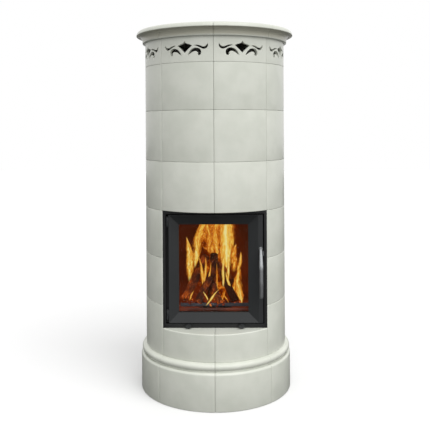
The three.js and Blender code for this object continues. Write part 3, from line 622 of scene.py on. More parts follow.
def make_course(name, whole=False):
    """A course of tiles: all of them, or those beside and behind the doorway."""
    low, high = span(f"{name}_left")
    tile = turned_tile(name, [(inner_radius, high), (inner_radius, low), *plain_face(low, high)])
    if whole:
        return lay_ring(name, tile, range(TILES), ring_nodes(name))
    return lay_ring(name, tile, range(1, TILES - 1), ring_nodes(name, ("left", "right")))


def cut_by_doorway(pieces):
    """Cuts the tiles beside the door straight along the front frame."""
    for piece in pieces:
        for side in (-1, 1):
            if side * sum(v.co.x for v in piece.data.vertices) < 0:
                continue
            if not any(abs(v.co.x) < frame_half and v.co.y < face_y / 2 for v in piece.data.vertices):
                continue
            edit(piece)
            cut_flat((side * (frame_half + joint / 2), 0, 0), (side, 0, 0), use_fill=True, clear_inner=True)
            alone(piece)


def cut_by_flue(pieces):
    """Bores the two back tiles for the flue outlet, with room all round the pipe."""
    radius = flue_radius + flue_gap

    def at_rim(edge):
        return all(abs(math.hypot(v.co.x, v.co.z - flue_z) - radius) < 0.2 * MM
                   and v.co.xy.length > body_radius - 1 * MM for v in edge.verts)
    for piece in pieces:
        inside, outside = (0, 0.5 * body_radius, flue_z), (0, 1.5 * body_radius, flue_z)
        combine(piece, bar("flue_hole", radius, inside, outside, 96))
        edit(piece)
        outward()
        pick(piece, "EDGE", at_rim)
        bpy.ops.mesh.bevel(offset=arris * 0.7, segments=3, affect="EDGES")
        shade(piece, 50)


make_course("course_5", whole=True)
course_6 = make_course("course_6", whole=True)
cut_by_flue(course_6[TILES // 2 - 1:TILES // 2 + 1])
for course in ("course_1", "course_2", "course_3"):
    cut_by_doorway(make_course(course))
make_course("course_4")
print("six courses, flue hole", round(2 * (flue_radius + flue_gap) / MM), "mm wide")

# %% [markdown]
# ## Sill and lintel
# Below the door two tiles end low, and their tops run back level to the front frame as a deep sill.
# Above it the lintel tiles return to the frame in the same way. Both are turned with an L-shaped
# section whose flat leg is too long, and then cut straight along the back of the frame.

# %% Sill and lintel tiles
shelf_thickness = 25 * MM
shelf_inner = 0.55 * body_radius
sill_arris = 5 * MM


def cut_shelf(piece):
    """Cuts the shelf of a sill or lintel tile along the back of the frame."""
    edit(piece)
    cut_flat((0, frame_back_y - joint / 2, 0), (0, 1, 0), use_fill=True, clear_outer=True)
    outward()
    return shade(piece, 50)


def lay_front(course, name, section):
    """The two tiles of a course that stand under or over the door."""
    nodes = ring_nodes(course, ("front_left", "front_right"))
    return lay_ring(name, turned_tile(name, section), (-1, 0), nodes, cut_shelf)


def make_sill():
    low, high = span("course_1_front_left")
    edge = body_radius - sill_arris
    section = [(shelf_inner, high), (shelf_inner, high - shelf_thickness),
               (inner_radius, high - shelf_thickness), (inner_radius, low),
               *arc(body_radius - arris, low + arris, arris, -90, 0, 4),
               *arc(edge, high - sill_arris, sill_arris, 0, 90, 6)]
    return lay_front("course_1", "sill", section)


def make_lintel():
    low, high = span("course_4_front_left")
    section = [(inner_radius, high), (inner_radius, low + shelf_thickness),
               (shelf_inner, low + shelf_thickness), (shelf_inner, low), *plain_face(low, high)]
    return lay_front("course_4", "lintel", section)


print("sill:", len(make_sill()), "tiles; lintel:", len(make_lintel()), "tiles")

# %% [markdown]
# ## Pierced frieze
# Warm air leaves the stove through the frieze. Its ornament is traditional: a star between two
# scrolls, with a wave-shaped leaf above each. It is drawn flat as a 2D curve, in which every inner
# outline is a hole. The curve's own bevel rounds the cut edges. The mesh made from it is sliced
# into strips, so that it can bend to the round of the stove.

# %% Frieze tile from a curve
frieze_low, frieze_high = span("frieze_left")
frieze_wall = 15 * MM
ornament_top = frieze_high - 22.3 * MM

star_half = [(0, 1, "V"), (5, -6.5, "A"), (12.5, -10.8, "A"), (24, -13.6, "A"), (35, -18.5, "V"),
             (27, -25.5, "A"), (15.5, -35.5, "A"), (0, -51, "V")]
star_outline = star_half + [(-x, z, kind) for x, z, kind in reversed(star_half[1:-1])]
scroll_outline = [(14.5, -60.5, "V"), (22, -47.2, "A"), (32, -36.6, "A"), (44, -30.6, "A"), (56, -29.8, "A"),
                  (67.5, -33.4, "A"), (74.6, -43, "A"), (74.4, -54.4, "A"), (68, -61.4, "A"),
                  (60.6, -58, "A"), (60.8, -50.6, "A"), (56.6, -45.2, "A"), (48, -43.6, "A"),
                  (37, -47, "A"), (25, -55, "A")]
wave_outline = [(43, -17.4, "V"), (54, -16.8, "A"), (67, -18.6, "A"), (79, -23.6, "A"), (89, -24.6, "A"),
                (97, -19.5, "A"), (103.5, -11.5, "V"), (104.2, -19, "A"), (100.5, -28.4, "A"),
                (90, -34.6, "A"), (79, -32.6, "A"), (68, -27.2, "A"), (56, -21.6, "A")]
motifs = [star_outline]
for outline in (scroll_outline, wave_outline):
    motifs.append(outline)
    motifs.append([(-x, z, kind) for x, z, kind in reversed(outline)])


def outline_spline(curve, points, corner):
    """A closed spline; V marks a corner and A a smooth point."""
    spline = curve.splines.new("BEZIER")
    spline.bezier_points.add(len(points) - 1)
    spline.use_cyclic_u = True
    spline.resolution_u = 4
    for point, (x, z, kind) in zip(spline.bezier_points, points):
        point.co = (x * MM, corner + z * MM, 0)
        point.handle_left_type = point.handle_right_type = {"V": "VECTOR", "A": "AUTO"}[kind]


def make_frieze():
    edge_round = 1.6 * MM
    curve = bpy.data.curves.new("frieze", "CURVE")
    curve.dimensions = "2D"
    curve.fill_mode = "BOTH"
    curve.extrude = frieze_wall / 2 - edge_round
    curve.bevel_depth = edge_round
    curve.bevel_resolution = 2
    curve.offset = -edge_round
    half = body_radius * math.tan(TILE_ANGLE / 2 - half_joint_angle)
    frame_points = [(-half, frieze_low), (half, frieze_low), (half, frieze_high), (-half, frieze_high)]
    outline_spline(curve, [(x / MM, z / MM, "V") for x, z in frame_points], 0)
    for motif in motifs:
        outline_spline(curve, motif, ornament_top)
    flat = bpy.data.objects.new("frieze", curve)
    bpy.context.scene.collection.objects.link(flat)
    alone(flat)
    bpy.ops.object.convert(target="MESH")
    edit(flat)
    outward()
    cuts_to_a_side = 13
    for cut in range(-cuts_to_a_side, cuts_to_a_side + 1):
        cut_flat((cut * half / (cuts_to_a_side + 0.5), 0, 0), (1, 0, 0))
    alone(flat)
    limit = TILE_ANGLE / 2 - half_joint_angle
    ornament_half = 118 * MM
    for vertex in flat.data.vertices:
        x, height, depth = vertex.co
        angle = limit * x / half if abs(x) > ornament_half else math.asin(x / body_radius)
        radius = body_radius - frieze_wall / 2 + depth
        turn = angle + TILE_ANGLE / 2
        vertex.co = (radius * math.sin(turn), -radius * math.cos(turn), height)
    edit(flat)
    outward()
    alone(flat)
    shade(flat, 28)
    return modifier(flat, "WEIGHTED_NORMAL", keep_sharp=True)


frieze = lay_ring("frieze", make_frieze(), range(TILES), ring_nodes("frieze"))
print("frieze:", len(frieze), "tiles with", len(motifs), "holes each")

# %% [markdown]
# ## Steel, iron, brick and stone
# The metals differ in how they are finished: stove paint is matt and slightly grained, stainless
# steel is brushed along its length, cast iron is pitted. The fire's light on the lining is painted
# into the brick as emission, stronger towards the hearth, and the fire's light on the log guard is
# painted into its iron the same way. A narrow band at the front of the hearth is painted in shadow.


# %% Materials of the insert
def make_paint(name, dark, light):
    paint = Material(name, Metallic=0.0, IOR=1.45)
    grain = paint.noise(0.0012, 2.0)
    cloud = paint.noise(0.12, 3.0)
    colour = paint.mix(cloud, srgb(*dark), srgb(*light))
    paint.set(Base_Color=colour, Roughness=grain * 0.14 + 0.4, Specular_IOR_Level=0.35,
              Normal=paint.bump(grain, 0.0002, 0.25))
    return paint


def make_stainless():
    steel = Material("brushed_steel", Metallic=1.0)
    brush = steel.noise(0.002, 3.0, scale=(1, 1, 0.03))
    steel.set(Base_Color=steel.mix(brush, srgb(96, 98, 99), srgb(142, 144, 145)),
              Roughness=brush * 0.18 + 0.3, Normal=steel.bump(brush, 0.0001, 0.3))
    return steel


def make_iron():
    iron = Material("cast_iron", Metallic=0.6)
    pits = iron.noise(0.003, 4.0)
    heat = iron.noise(0.06, 3.0)
    colour = iron.mix(heat.smooth(0.35, 0.75), srgb(38, 34, 32), srgb(84, 44, 28))
    iron.set(Base_Color=colour, Roughness=pits * 0.2 + 0.5, Normal=iron.bump(pits, 0.0006, 0.5))
    return iron


def make_brick():
    brick = Material("fire_brick")
    grain = brick.noise(0.004, 4.0)
    soot = brick.noise(0.11, 4.0)
    height, depth = brick.along("Z"), brick.along("Y")
    low_down = (1.0 - height.smooth(0.33, 0.72)) * 0.75 + 0.25
    own = brick.mix(soot.smooth(0.35, 0.7), srgb(70, 30, 14), srgb(40, 18, 10))
    # Painted firelight: the emission stands for the fire's light on the lining, stronger low down.
    glow = brick.mix(low_down * soot.smooth(0.25, 0.7), srgb(58, 20, 3), srgb(142, 50, 13))
    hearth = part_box("hearth_brick")[1].z
    # Painted shadow: a narrow band at the front of the hearth is darkened in colour and emission.
    shadow_front, shadow_back = -0.108, -0.096
    hearth_shadow = (1.0 - height.smooth(hearth, hearth + 4 * MM)) * (1.0 - depth.smooth(shadow_front, shadow_back))
    own, glow = brick.mix(hearth_shadow, own, srgb(24, 25, 28)), brick.mix(hearth_shadow, glow, srgb(16, 17, 20))
    brick.set(Base_Color=own, Roughness=grain * 0.15 + 0.8, Emission_Color=glow, Emission_Strength=0.55,
              Normal=brick.bump(grain, 0.0008, 0.6))
    return brick


def make_firelit_iron():
    firelit = Material("firelit_iron", Metallic=0.3, Roughness=0.6, Base_Color=srgb(52, 34, 28))
    patches = firelit.noise(0.07, 2.0)
    # Painted firelight: the emission stands for the fire's light on the guard, in patches.
    firelit.set(Emission_Color=firelit.mix(patches.smooth(0.35, 0.65), srgb(44, 16, 10), srgb(104, 44, 26)),
            Emission_Strength=1.0)
    return firelit


def make_stone():
    stone = Material("storage_stone", Roughness=0.95)
    grain = stone.noise(0.003, 4.0)
    blotch = stone.noise(0.05, 3.0)
    stone.set(Base_Color=stone.mix(blotch, srgb(138, 132, 122), srgb(162, 156, 146)),
              Normal=stone.bump(grain, 0.001, 0.6))
    return stone


def make_rope():
    rope = Material("rope_seal", Roughness=0.95)
    weave = rope.node("ShaderNodeTexWave", {"wave_type": "BANDS", "bands_direction": "DIAGONAL"},
                      Vector=rope.place(), Scale=180.0, Distortion=1.0)
    rope.set(Base_Color=rope.mix(weave, srgb(58, 56, 52), srgb(96, 92, 86)),
             Normal=rope.bump(weave, 0.0008, 0.8))
    return rope


def make_glass():
    return Material("stove_glass", Base_Color=srgb(24, 20, 16), Roughness=0.04,
                    Specular_IOR_Level=0.12, Alpha=0.12)


paint = make_paint("black_paint", (32, 34, 35), (40, 42, 43))
frame_paint = make_paint("frame_paint", (17, 18, 18), (24, 25, 25))
stainless, iron, firelit_iron = make_stainless(), make_iron(), make_firelit_iron()
brick, stone, rope, glass = make_brick(), make_stone(), make_rope(), make_glass()
print(len(bpy.data.materials), "materials so far")

# %% [markdown]
# ## Front frame and door leaf
# Both are folded from steel plate and welded, so every arris has a small radius. The leaf slopes in
# to the glass from all four sides with mitred corners, and leaves a flat flange for the lever. It
# hangs on two lift-off hinges: a barrel on the frame, one on the leaf above it, and a loose pin.
# Blocks are cut out of blocks here, because each opening then fits what it takes by a named play.


# %% Frame and leaf
def inner_box(low, high, sides):
    """The box left inside another after taking (left, right, bottom, top) from it."""
    left, right, bottom, top = (side * MM for side in sides)
    return (low.x + left, low.z + bottom), (high.x - right, high.z - top)


def window(name, low, high, y_front, y_back):
    """A block between two (x, z) corners, used as a cutter."""
    return cube(name, (low[0], y_front, low[1]), (high[0], y_back, high[1]))


past = 0.01


def bored(piece, name, radius, x, z, front, back, sides=32):
    """Bores a piece from front to back, with a cutter that reaches a little past it."""
    return combine(piece, bar(name, radius, (x, front - past, z), (x, back + past, z), sides))


leaf_low, leaf_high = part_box("door_leaf")
frame_low, frame_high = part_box("insert_frame")
frame_lip = 12.2, 12, 18, 15
glass_low, glass_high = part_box("door_glass")
glass_hold = 9.7
sight_low, sight_high = inner_box(glass_low, glass_high, [glass_hold] * 4)
seat_play = 0.3
seat = inner_box(glass_low, glass_high, [-seat_play] * 4)
chamfer_width, chamfer_depth = 44.5 * MM, 14 * MM
leaf_left = sight_low[0] - chamfer_width
chamfer_right = sight_high[0] + chamfer_width
flange = 8 * MM
pocket_floor = frame_high.y - 6 * MM
pin_foot, pin_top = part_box("lower_hinge_pin")
hinge_x, hinge_y = (pin_foot.x + pin_top.x) / 2, (pin_foot.y + pin_top.y) / 2
lever_x = leaf_high.x - 10 * MM
spindle_z = leaf_low.z + 330 * MM


def make_frame():
    piece = cube("frame", frame_low, frame_high)
    low, high = inner_box(frame_low, frame_high, frame_lip)
    combine(piece, window("pocket", low, high, frame_low.y - past, pocket_floor))
    combine(piece, window("mouth", *seat, pocket_floor - past, frame_high.y + past))
    for side in ("left", "right"):
        knob_low, knob_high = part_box(f"air_knob_{side}")
        middle = (knob_low + knob_high) / 2
        bored(piece, "rod_hole", 3.4 * MM, middle.x, middle.z, frame_low.y, frame_high.y)
    soften(piece, 1.2 * MM, 3)
    return dress(piece, frame_paint, replaces=["insert_frame"])


def upright(name, radius, low_z, high_z):
    """A round bar on the hinge line."""
    return bar(name, radius, (hinge_x, hinge_y, low_z), (hinge_x, hinge_y, high_z))


def make_lug(name, body, low_z, high_z, web_low, web_high):
    """A hinge barrel with its web, whose corners are (x, y), on the frame or on the leaf."""
    barrel = upright(name, 5.5 * MM, low_z, high_z)
    combine(barrel, cube("web", (*web_low, low_z), (*web_high, high_z)), "UNION")
    combine(barrel, upright("pin_hole", 3.5 * MM, low_z - past, high_z + past))
    soften(barrel, 0.5 * MM, 2)
    return dress(barrel, paint, body)


def make_hinge(place, barrel=16 * MM, leaf_barrel=24 * MM, gap=0.4 * MM):
    """A lift-off hinge: a barrel on the frame, one on the leaf over it, and the pin through both."""
    pin_low, pin_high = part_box(f"{place}_hinge_pin")
    foot = pin_low.z + 2 * MM
    frame_web = (hinge_x - 2.5 * MM, hinge_y), (hinge_x + 2.5 * MM, pocket_floor + 1 * MM)
    leaf_web = (hinge_x, leaf_low.y + gap), (leaf_left + 1 * MM, leaf_low.y + flange)
    make_lug(f"{place}_frame_lug", "root", foot, foot + barrel, *frame_web)
    make_lug(f"{place}_leaf_lug", "door", foot + barrel + gap, foot + barrel + gap + leaf_barrel, *leaf_web)
    pin = upright(f"{place}_pin", 3 * MM, pin_low.z, pin_high.z - 3 * MM)
    combine(pin, upright("pin_head", 5 * MM, pin_high.z - 4 * MM, pin_high.z), "UNION")
    soften(pin, 0.8 * MM, 3)
    return dress(pin, paint, replaces=[f"{place}_hinge_pin"])


def cut_funnel(piece):
    """Slopes the leaf in to the glass from all four sides."""
    border = 2 * MM
    middle_z = (sight_low[1] + sight_high[1]) / 2
    funnel = window("funnel", (leaf_left + border, leaf_low.z + border),
                    (chamfer_right, leaf_high.z - border), leaf_low.y, leaf_low.y + chamfer_depth)
    for vertex in funnel.data.vertices:
        if vertex.co.y > leaf_low.y + chamfer_depth / 2:
            vertex.co.x = sight_low[0] if vertex.co.x < 0 else sight_high[0]
            vertex.co.z = sight_low[1] if vertex.co.z < middle_z else sight_high[1]
        else:
            vertex.co.y -= 1e-5
    combine(piece, funnel)


def cut_gasket_groove(piece, gasket_low, gasket_high):
    """A groove for the rope round the glass, 0.3 mm wider than the rope on every side."""
    play, rope_width, deep = 0.3, 8.3, 9
    groove = cube("groove", gasket_low - Vector((play, play, play)) * MM,
                  gasket_high + Vector((play, deep, play)) * MM)
    island = cube("island", gasket_low + Vector((rope_width, -deep, rope_width)) * MM,
                  gasket_high + Vector((-rope_width, deep + 10, -rope_width)) * MM)
    combine(piece, combine(groove, island))


def make_leaf():
    piece = cube("leaf", (leaf_left, leaf_low.y, leaf_low.z), (chamfer_right, leaf_high.y, leaf_high.z))
    combine(piece, cube("flange", (leaf_left, leaf_low.y, leaf_low.z),
                        (leaf_high.x, leaf_low.y + flange, leaf_high.z)), "UNION")
    cut_funnel(piece)
    combine(piece, window("sight", sight_low, sight_high, leaf_low.y - past, leaf_high.y + past))
    combine(piece, window("seat", *seat, glass_low.y - seat_play * MM, leaf_high.y + past))
    gasket_low, gasket_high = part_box("door_gasket")
    cut_gasket_groove(piece, gasket_low, gasket_high)
    bored(piece, "bore", 5.4 * MM, lever_x, spindle_z, leaf_low.y, leaf_high.y)
    tongue_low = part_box("latch_tongue")[0]
    room_low = gasket_high.x + 1.5 * MM, tongue_low.y - 0.6 * MM, tongue_low.z - 3 * MM
    room_high = chamfer_right + 1 * MM, leaf_high.y + past, spindle_z + 10 * MM
    combine(piece, cube("tongue_room", room_low, room_high))
    soften(piece, 1.0 * MM, 3, angle=14)
    modifier(piece, "WEIGHTED_NORMAL", keep_sharp=True)
    return dress(piece, paint, "door", replaces=["door_leaf"])


make_frame()
make_leaf()
for place in ("lower", "upper"):
    make_hinge(place)
print(f"leaf {(leaf_high.x - leaf_left) / MM:.0f} mm wide, glass {(glass_high.x - glass_low.x) / MM:.0f} mm")

# %% [markdown]
# ## Glass and its seal
# A clear ceramic pane lies in its seat, and a steel retainer holds it from behind. A rope of glass
# fibre round it seals the closed door. Retainer and rope are both frames, cut from one block each.

# %% Glass, retainer and gasket
pane = soften(cube("glass", glass_low, glass_high), 0.5 * MM, 2)
dress(pane, glass, "door", replaces=["door_glass"])


def make_surround(name, node, width, rounding, material, segments=3):
    """A frame of bars round a window, cut from one block."""
    low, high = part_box(node)
    piece = cube(name, low, high)
    combine(piece, cube("hole", low + Vector((width, -0.05, width)), high + Vector((-width, 0.05, -width))))
    soften(piece, rounding, segments)
    return dress(piece, material, "door", replaces=[node])


make_surround("retainer", "glass_retainer", 10 * MM, 0.8 * MM, paint)
make_surround("gasket", "door_gasket", 8 * MM, 3.2 * MM, rope, segments=4)

# %% [markdown]
# ## Lever
# The lever is swept: a flat oval section is extruded along a path in short steps and widened at
# every step. A shallow flute runs down its lower half. Its spindle turns in the leaf behind a collar.


# %% Lever
def lever_path(share):
    """Centre of the lever in (y, z), from its top to its free end."""
    stops = [(0.0, -237.4, 4), (0.1, -239.0, -3), (0.27, -255.5, -32), (0.45, -277.0, -74),
             (0.72, -279.4, -149), (1.0, -277.2, -209.4)]
    for (a, y0, z0), (b, y1, z1) in zip(stops, stops[1:]):
        if share <= b:
            blend = (share - a) / (b - a)
            return (y0 + (y1 - y0) * blend) * MM, spindle_z + (z0 + (z1 - z0) * blend) * MM
    return stops[-1][1] * MM, spindle_z + stops[-1][2] * MM


def make_lever(steps=30):
    piece = start("lever", bpy.ops.mesh.primitive_circle_add, vertices=24, radius=1, fill_type="NGON")
    wide, thick, flatness = 5.2, 4.4, 0.9
    for vertex in piece.data.vertices:
        flat = max(-flatness, min(flatness, vertex.co.y))
        vertex.co = (vertex.co.x * wide * MM, flat * thick * MM, 0)
    edit(piece)
    bpy.ops.mesh.select_all(action="SELECT")
    y, z = lever_path(0)
    bpy.ops.transform.translate(value=(lever_x, y, z))
    for step in range(1, steps + 1):
        share = step / steps
        new_y, new_z = lever_path(share)
        bpy.ops.mesh.extrude_region_move(TRANSFORM_OT_translate={"value": (0, new_y - y, new_z - z)})
        y, z = new_y, new_z
        new_wide = 6 + 3.3 * min(1, share * 2.2) - (1.5 if step == steps else 0)
        bpy.ops.transform.resize(value=(new_wide / wide, 1, 1), center_override=(lever_x, y, z))
        wide = new_wide
    bpy.ops.mesh.select_all(action="SELECT")
    bpy.ops.mesh.normals_make_consistent(inside=False)
    alone(piece)
    flute_y, flute_low, flute_high = -0.2862, spindle_z - 0.196, spindle_z - 0.085
    combine(piece, bar("flute", 3.2 * MM, (lever_x, flute_y, flute_low), (lever_x, flute_y, flute_high)))
    spindle_y = -0.2365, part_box("door_handle")[1].y
    collar_y = leaf_low.y - 3.2 * MM, leaf_low.y - 0.3 * MM
    for name, radius, (front, back) in (("spindle", 5, spindle_y), ("collar", 8.5, collar_y)):
        rod = bar(name, radius * MM, (lever_x, front, spindle_z), (lever_x, back, spindle_z))
        combine(piece, rod, "UNION")
    soften(piece, 0.8 * MM, 3, angle=30)
    return dress(piece, stainless, "handle", replaces=["door_handle"])


lever = make_lever()
print("lever:", len(lever.data.polygons), "faces")

# %% [markdown]
# ## Air knobs and latch
# Each oval knob sits on the rod of an air slide. Rods, tongue and keeper are simple shapes that the
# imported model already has, so they only get their metal and a small rounding.


# %% Knobs, slides, tongue and keeper
def finish_node(node, material, rounding=0.8):
    """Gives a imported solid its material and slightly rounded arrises."""
    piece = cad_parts[node]
    piece.data.materials.clear()
    piece.data.materials.append(material.data)
    rounded = piece.modifiers.new("rounding", "BEVEL")
    rounded.width = rounding * MM
    rounded.segments = 2
    rounded.limit_method = "ANGLE"
    rounded.angle_limit = math.radians(40)
    rounded.harden_normals = False


def make_knob(side):
    """An oval knob with a face sunk a little inside its rim."""
    low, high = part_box(f"air_knob_{side}")
    middle = (low + high) / 2
    piece = bar(f"knob_{side}", 1, (0, low.y, 0), (0, high.y, 0), 48)
    for vertex in piece.data.vertices:
        vertex.co.x = middle.x + vertex.co.x * (high.x - low.x) / 2
        vertex.co.z = middle.z + vertex.co.z * (high.z - low.z) / 2
    edit(piece)
    pick(piece, "FACE", lambda face: face.normal.y < -0.9)
    bpy.ops.mesh.inset(thickness=3.4 * MM, depth=-1.2 * MM)
    soften(piece, 2.0 * MM, 4, angle=30)
    return dress(piece, paint, f"air_control_{side}", replaces=[f"air_knob_{side}"])


for side in ("left", "right"):
    make_knob(side)
    finish_node(f"air_slide_{side}", stainless)
for node in ("latch_tongue", "latch_keeper"):
    finish_node(node, stainless, 0.4)
print("two knobs on their slides, tongue and keeper")

# %% [markdown]
# ## Inside the fire chamber
# Behind the glass stands a lined chamber: brick slabs with a worn arris, an iron grate set in the
# hearth, and the round log guard that keeps the wood off the glass.

# %% Linings, grate, guard and hidden parts
hidden = [
    (brick, 2.0, ("hearth_brick", "left_brick", "right_brick", "back_brick", "baffle_brick")),
    (stone, 3.0, ("storage_stone_lower", "storage_stone_upper")),
    (iron, 0.8, ("grate",)),
    (paint, 0.8, ("firebox_shell",)),
    (paint, 0.6, ("ash_pan",)),
    (paint, 1.5, ("base_stand",)),
    (paint, 1.2, ("top_cover",)),
]
for material, rounding, nodes in hidden:
    for node in nodes:
        finish_node(node, material, rounding)

guard_low, guard_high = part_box("log_guard")
guard_radius = 7 * MM
guard_y = (guard_low.y + guard_high.y) / 2
guard_z = guard_high.z - guard_radius
post_x, post_half_width, post_half_depth = 90 * MM, 6 * MM, 4 * MM
guard = bar("guard", guard_radius, (guard_low.x, guard_y, guard_z), (guard_high.x, guard_y, guard_z))
for x in (-post_x, post_x):
    post = cube("post", (x - post_half_width, guard_y - post_half_depth, guard_low.z),
                (x + post_half_width, guard_y + post_half_depth, guard_z))
    combine(guard, post, "UNION")
soften(guard, 1.0 * MM, 3, angle=50)
dress(guard, firelit_iron, "guard", replaces=["log_guard"])
print(sum(len(nodes) for _, _, nodes in hidden), "packed solids finished, and the log guard")

# %% [markdown]
# ## Flue outlet
# The outlet is a short round pipe at the back, open at its end, over which the flue pipe slides.

# %% Flue outlet
flue_wall = 3 * MM
flue = bar("flue_outlet_pipe", flue_radius, (0, flue_low.y, flue_z), (0, flue_high.y, flue_z), 72)
bored(flue, "inside", flue_radius - flue_wall, 0, flue_z, flue_low.y, flue_high.y, 72)
soften(flue, 0.7 * MM, 2)
dress(flue, paint, replaces=["flue_outlet"])
print(f"flue outlet {2 * flue_radius / MM:.0f} mm")

# %% [markdown]
# ## Firewood
# Split logs lean together over the grate, with charcoal and embers at their feet and a ridge of
# cold ash in front. A log is a rough bar of five to seven sides, subdivided and shaken by noise.
# Its charred skin glows where it cracks.


# %% Logs and embers
def make_char():
    char = Material("charred_wood", Roughness=0.9)
    cracks = char.node("ShaderNodeTexVoronoi", {"feature": "DISTANCE_TO_EDGE"}, output="Distance",
                       Vector=char.place((1, 1, 0.35)), Scale=70.0)
    patches = char.noise(0.05, 3.0)
    low_down = 1.0 - char.along("Z").smooth(0.37, 0.5)
    heat = (1.0 - cracks.smooth(0.0, 0.1)) * patches.smooth(0.42, 0.7) * (low_down * 0.9 + 0.3)
    bark = char.mix(patches, srgb(30, 13, 7), srgb(90, 42, 20))
    glow = char.mix(patches.smooth(0.4, 0.75), srgb(26, 8, 1), srgb(150, 60, 15))
    glow = char.mix(heat.clamp(), glow, srgb(255, 130, 40))
    char.set(Base_Color=bark, Emission_Color=glow, Emission_Strength=1.0,
             Normal=char.bump(cracks, 0.002, 0.8))
    return char


def make_ember():
    ember = Material("ember", Roughness=0.95)
    patches = ember.noise(0.012, 3.0)
    tone = ember.attribute("tone")
    heat = (patches.smooth(0.35, 0.7) * 0.7 + tone * 0.3).clamp()
    glow = ember.node("ShaderNodeValToRGB", {"stops": [
        (0.0, srgb(30, 6, 1)), (0.45, srgb(96, 26, 4)),
        (0.75, srgb(190, 74, 16)), (1.0, srgb(255, 160, 70))]}, Fac=heat)
    ember.set(Base_Color=ember.mix(patches, srgb(30, 22, 18), srgb(74, 58, 48)),
              Emission_Color=glow, Emission_Strength=1.0)
    return ember


char, ember = make_char(), make_ember()
hearth_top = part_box("grate")[1].z


def make_log(number, foot, tip, radius):
    """A split log from its foot to its tip."""
    piece = bar(f"log_{number}", radius, foot, tip, 5 + number % 3)
    soften(piece, radius * 0.25, 2)
    edit(piece)
    bpy.ops.mesh.select_all(action="SELECT")
    bpy.ops.mesh.subdivide(number_cuts=5)
    alone(piece)
    texture = bpy.data.textures.new("bark", "CLOUDS")
    texture.noise_scale = 0.05
    modifier(piece, "DISPLACE", texture=texture, strength=0.016, mid_level=0.5, texture_coords="GLOBAL")
    shade(piece, 40)
    return dress(piece, char, "fire_grate")


logs = [
    ((-150, -8, 391), (-42, 6, 600), 21),
    ((-82, -44, 390), (6, 0, 575), 19),
    ((-24, 30, 391), (-6, 22, 606), 20),
    ((92, -28, 391), (12, 10, 560), 21),
    ((128, 30, 392), (34, 34, 540), 18),
    ((20, -62, 389), (-8, -20, 470), 15),
]
for number, (foot, tip, radius) in enumerate(logs):
    make_log(number, Vector(foot) * MM, Vector(tip) * MM, radius * MM)


def make_embers(count=70):
    """Glowing charcoal scattered round the feet of the logs, joined as one piece."""
    chunks = []
    for number in range(count):
        x = random.gauss(0, 0.062)
        y = random.gauss(-0.03, 0.03)
        if abs(x) > 0.15 or not -0.07 < y < 0.06:
            continue
        size = random.uniform(4, 9) * MM
        chunk = start("chunk", bpy.ops.mesh.primitive_ico_sphere_add, subdivisions=2, radius=size,
                      location=(x, y, hearth_top + size * 0.75 + random.uniform(0, 0.012)))
        chunk.rotation_euler = [random.uniform(0, 3) for _ in range(3)]
        chunk.scale = [random.uniform(0.6, 1.3), random.uniform(0.6, 1.2), random.uniform(0.5, 0.8)]
        bpy.ops.object.transform_apply(location=True, rotation=True, scale=True)
        set_tone(chunk)
        chunks.append(chunk)
    alone(chunks[0])
    for chunk in chunks:
        chunk.select_set(True)
    bpy.ops.object.join()
    piece = bpy.context.object
    piece.name = "embers"
    shade(piece, 60)
    return dress(piece, ember, "fire_grate")


make_embers()


def make_ash_ridge():
    """The ridge of cold charcoal and ash raked up in front of the fire."""
    cold = Material("cold_ash", Roughness=1.0)
    grain = cold.noise(0.006, 3.0)
    # Painted light: the grey emission stands for the fire's light on the cold ash.
    cold.set(Base_Color=cold.mix(grain, srgb(52, 54, 60), srgb(96, 98, 104)),
             Emission_Color=cold.mix(grain, srgb(24, 25, 28), srgb(40, 41, 45)), Emission_Strength=1.0)
    radius, reach, front = 8.5 * MM, 165 * MM, -50 * MM
    middle = hearth_top + radius
    ridge = bar("ash_ridge", radius, (-reach, front, middle), (reach, front, middle), 12)
    edit(ridge)
    stations = 29
    for station in range(1 - stations, stations):
        cut_flat((station * reach / stations, 0, 0), (1, 0, 0))
    bpy.ops.mesh.select_all(action="SELECT")
    bpy.ops.transform.vertex_random(offset=1.6 * MM, seed=3)
    alone(ridge)
    return dress(shade(ridge, 60), cold, "fire_grate")


make_ash_ridge()
print(len(logs), "logs, embers and the ash ridge")

# %% [markdown]
# ## Flames
# A flame is a thin sheet of light. Each tongue is a narrow grid that widens, wavers and runs to a
# point. Its material reads the sheet's own coordinates: the light fades towards the edges and the
# tip, tall streaks of noise tear it, and its colour runs from red at the rim to pale yellow inside.


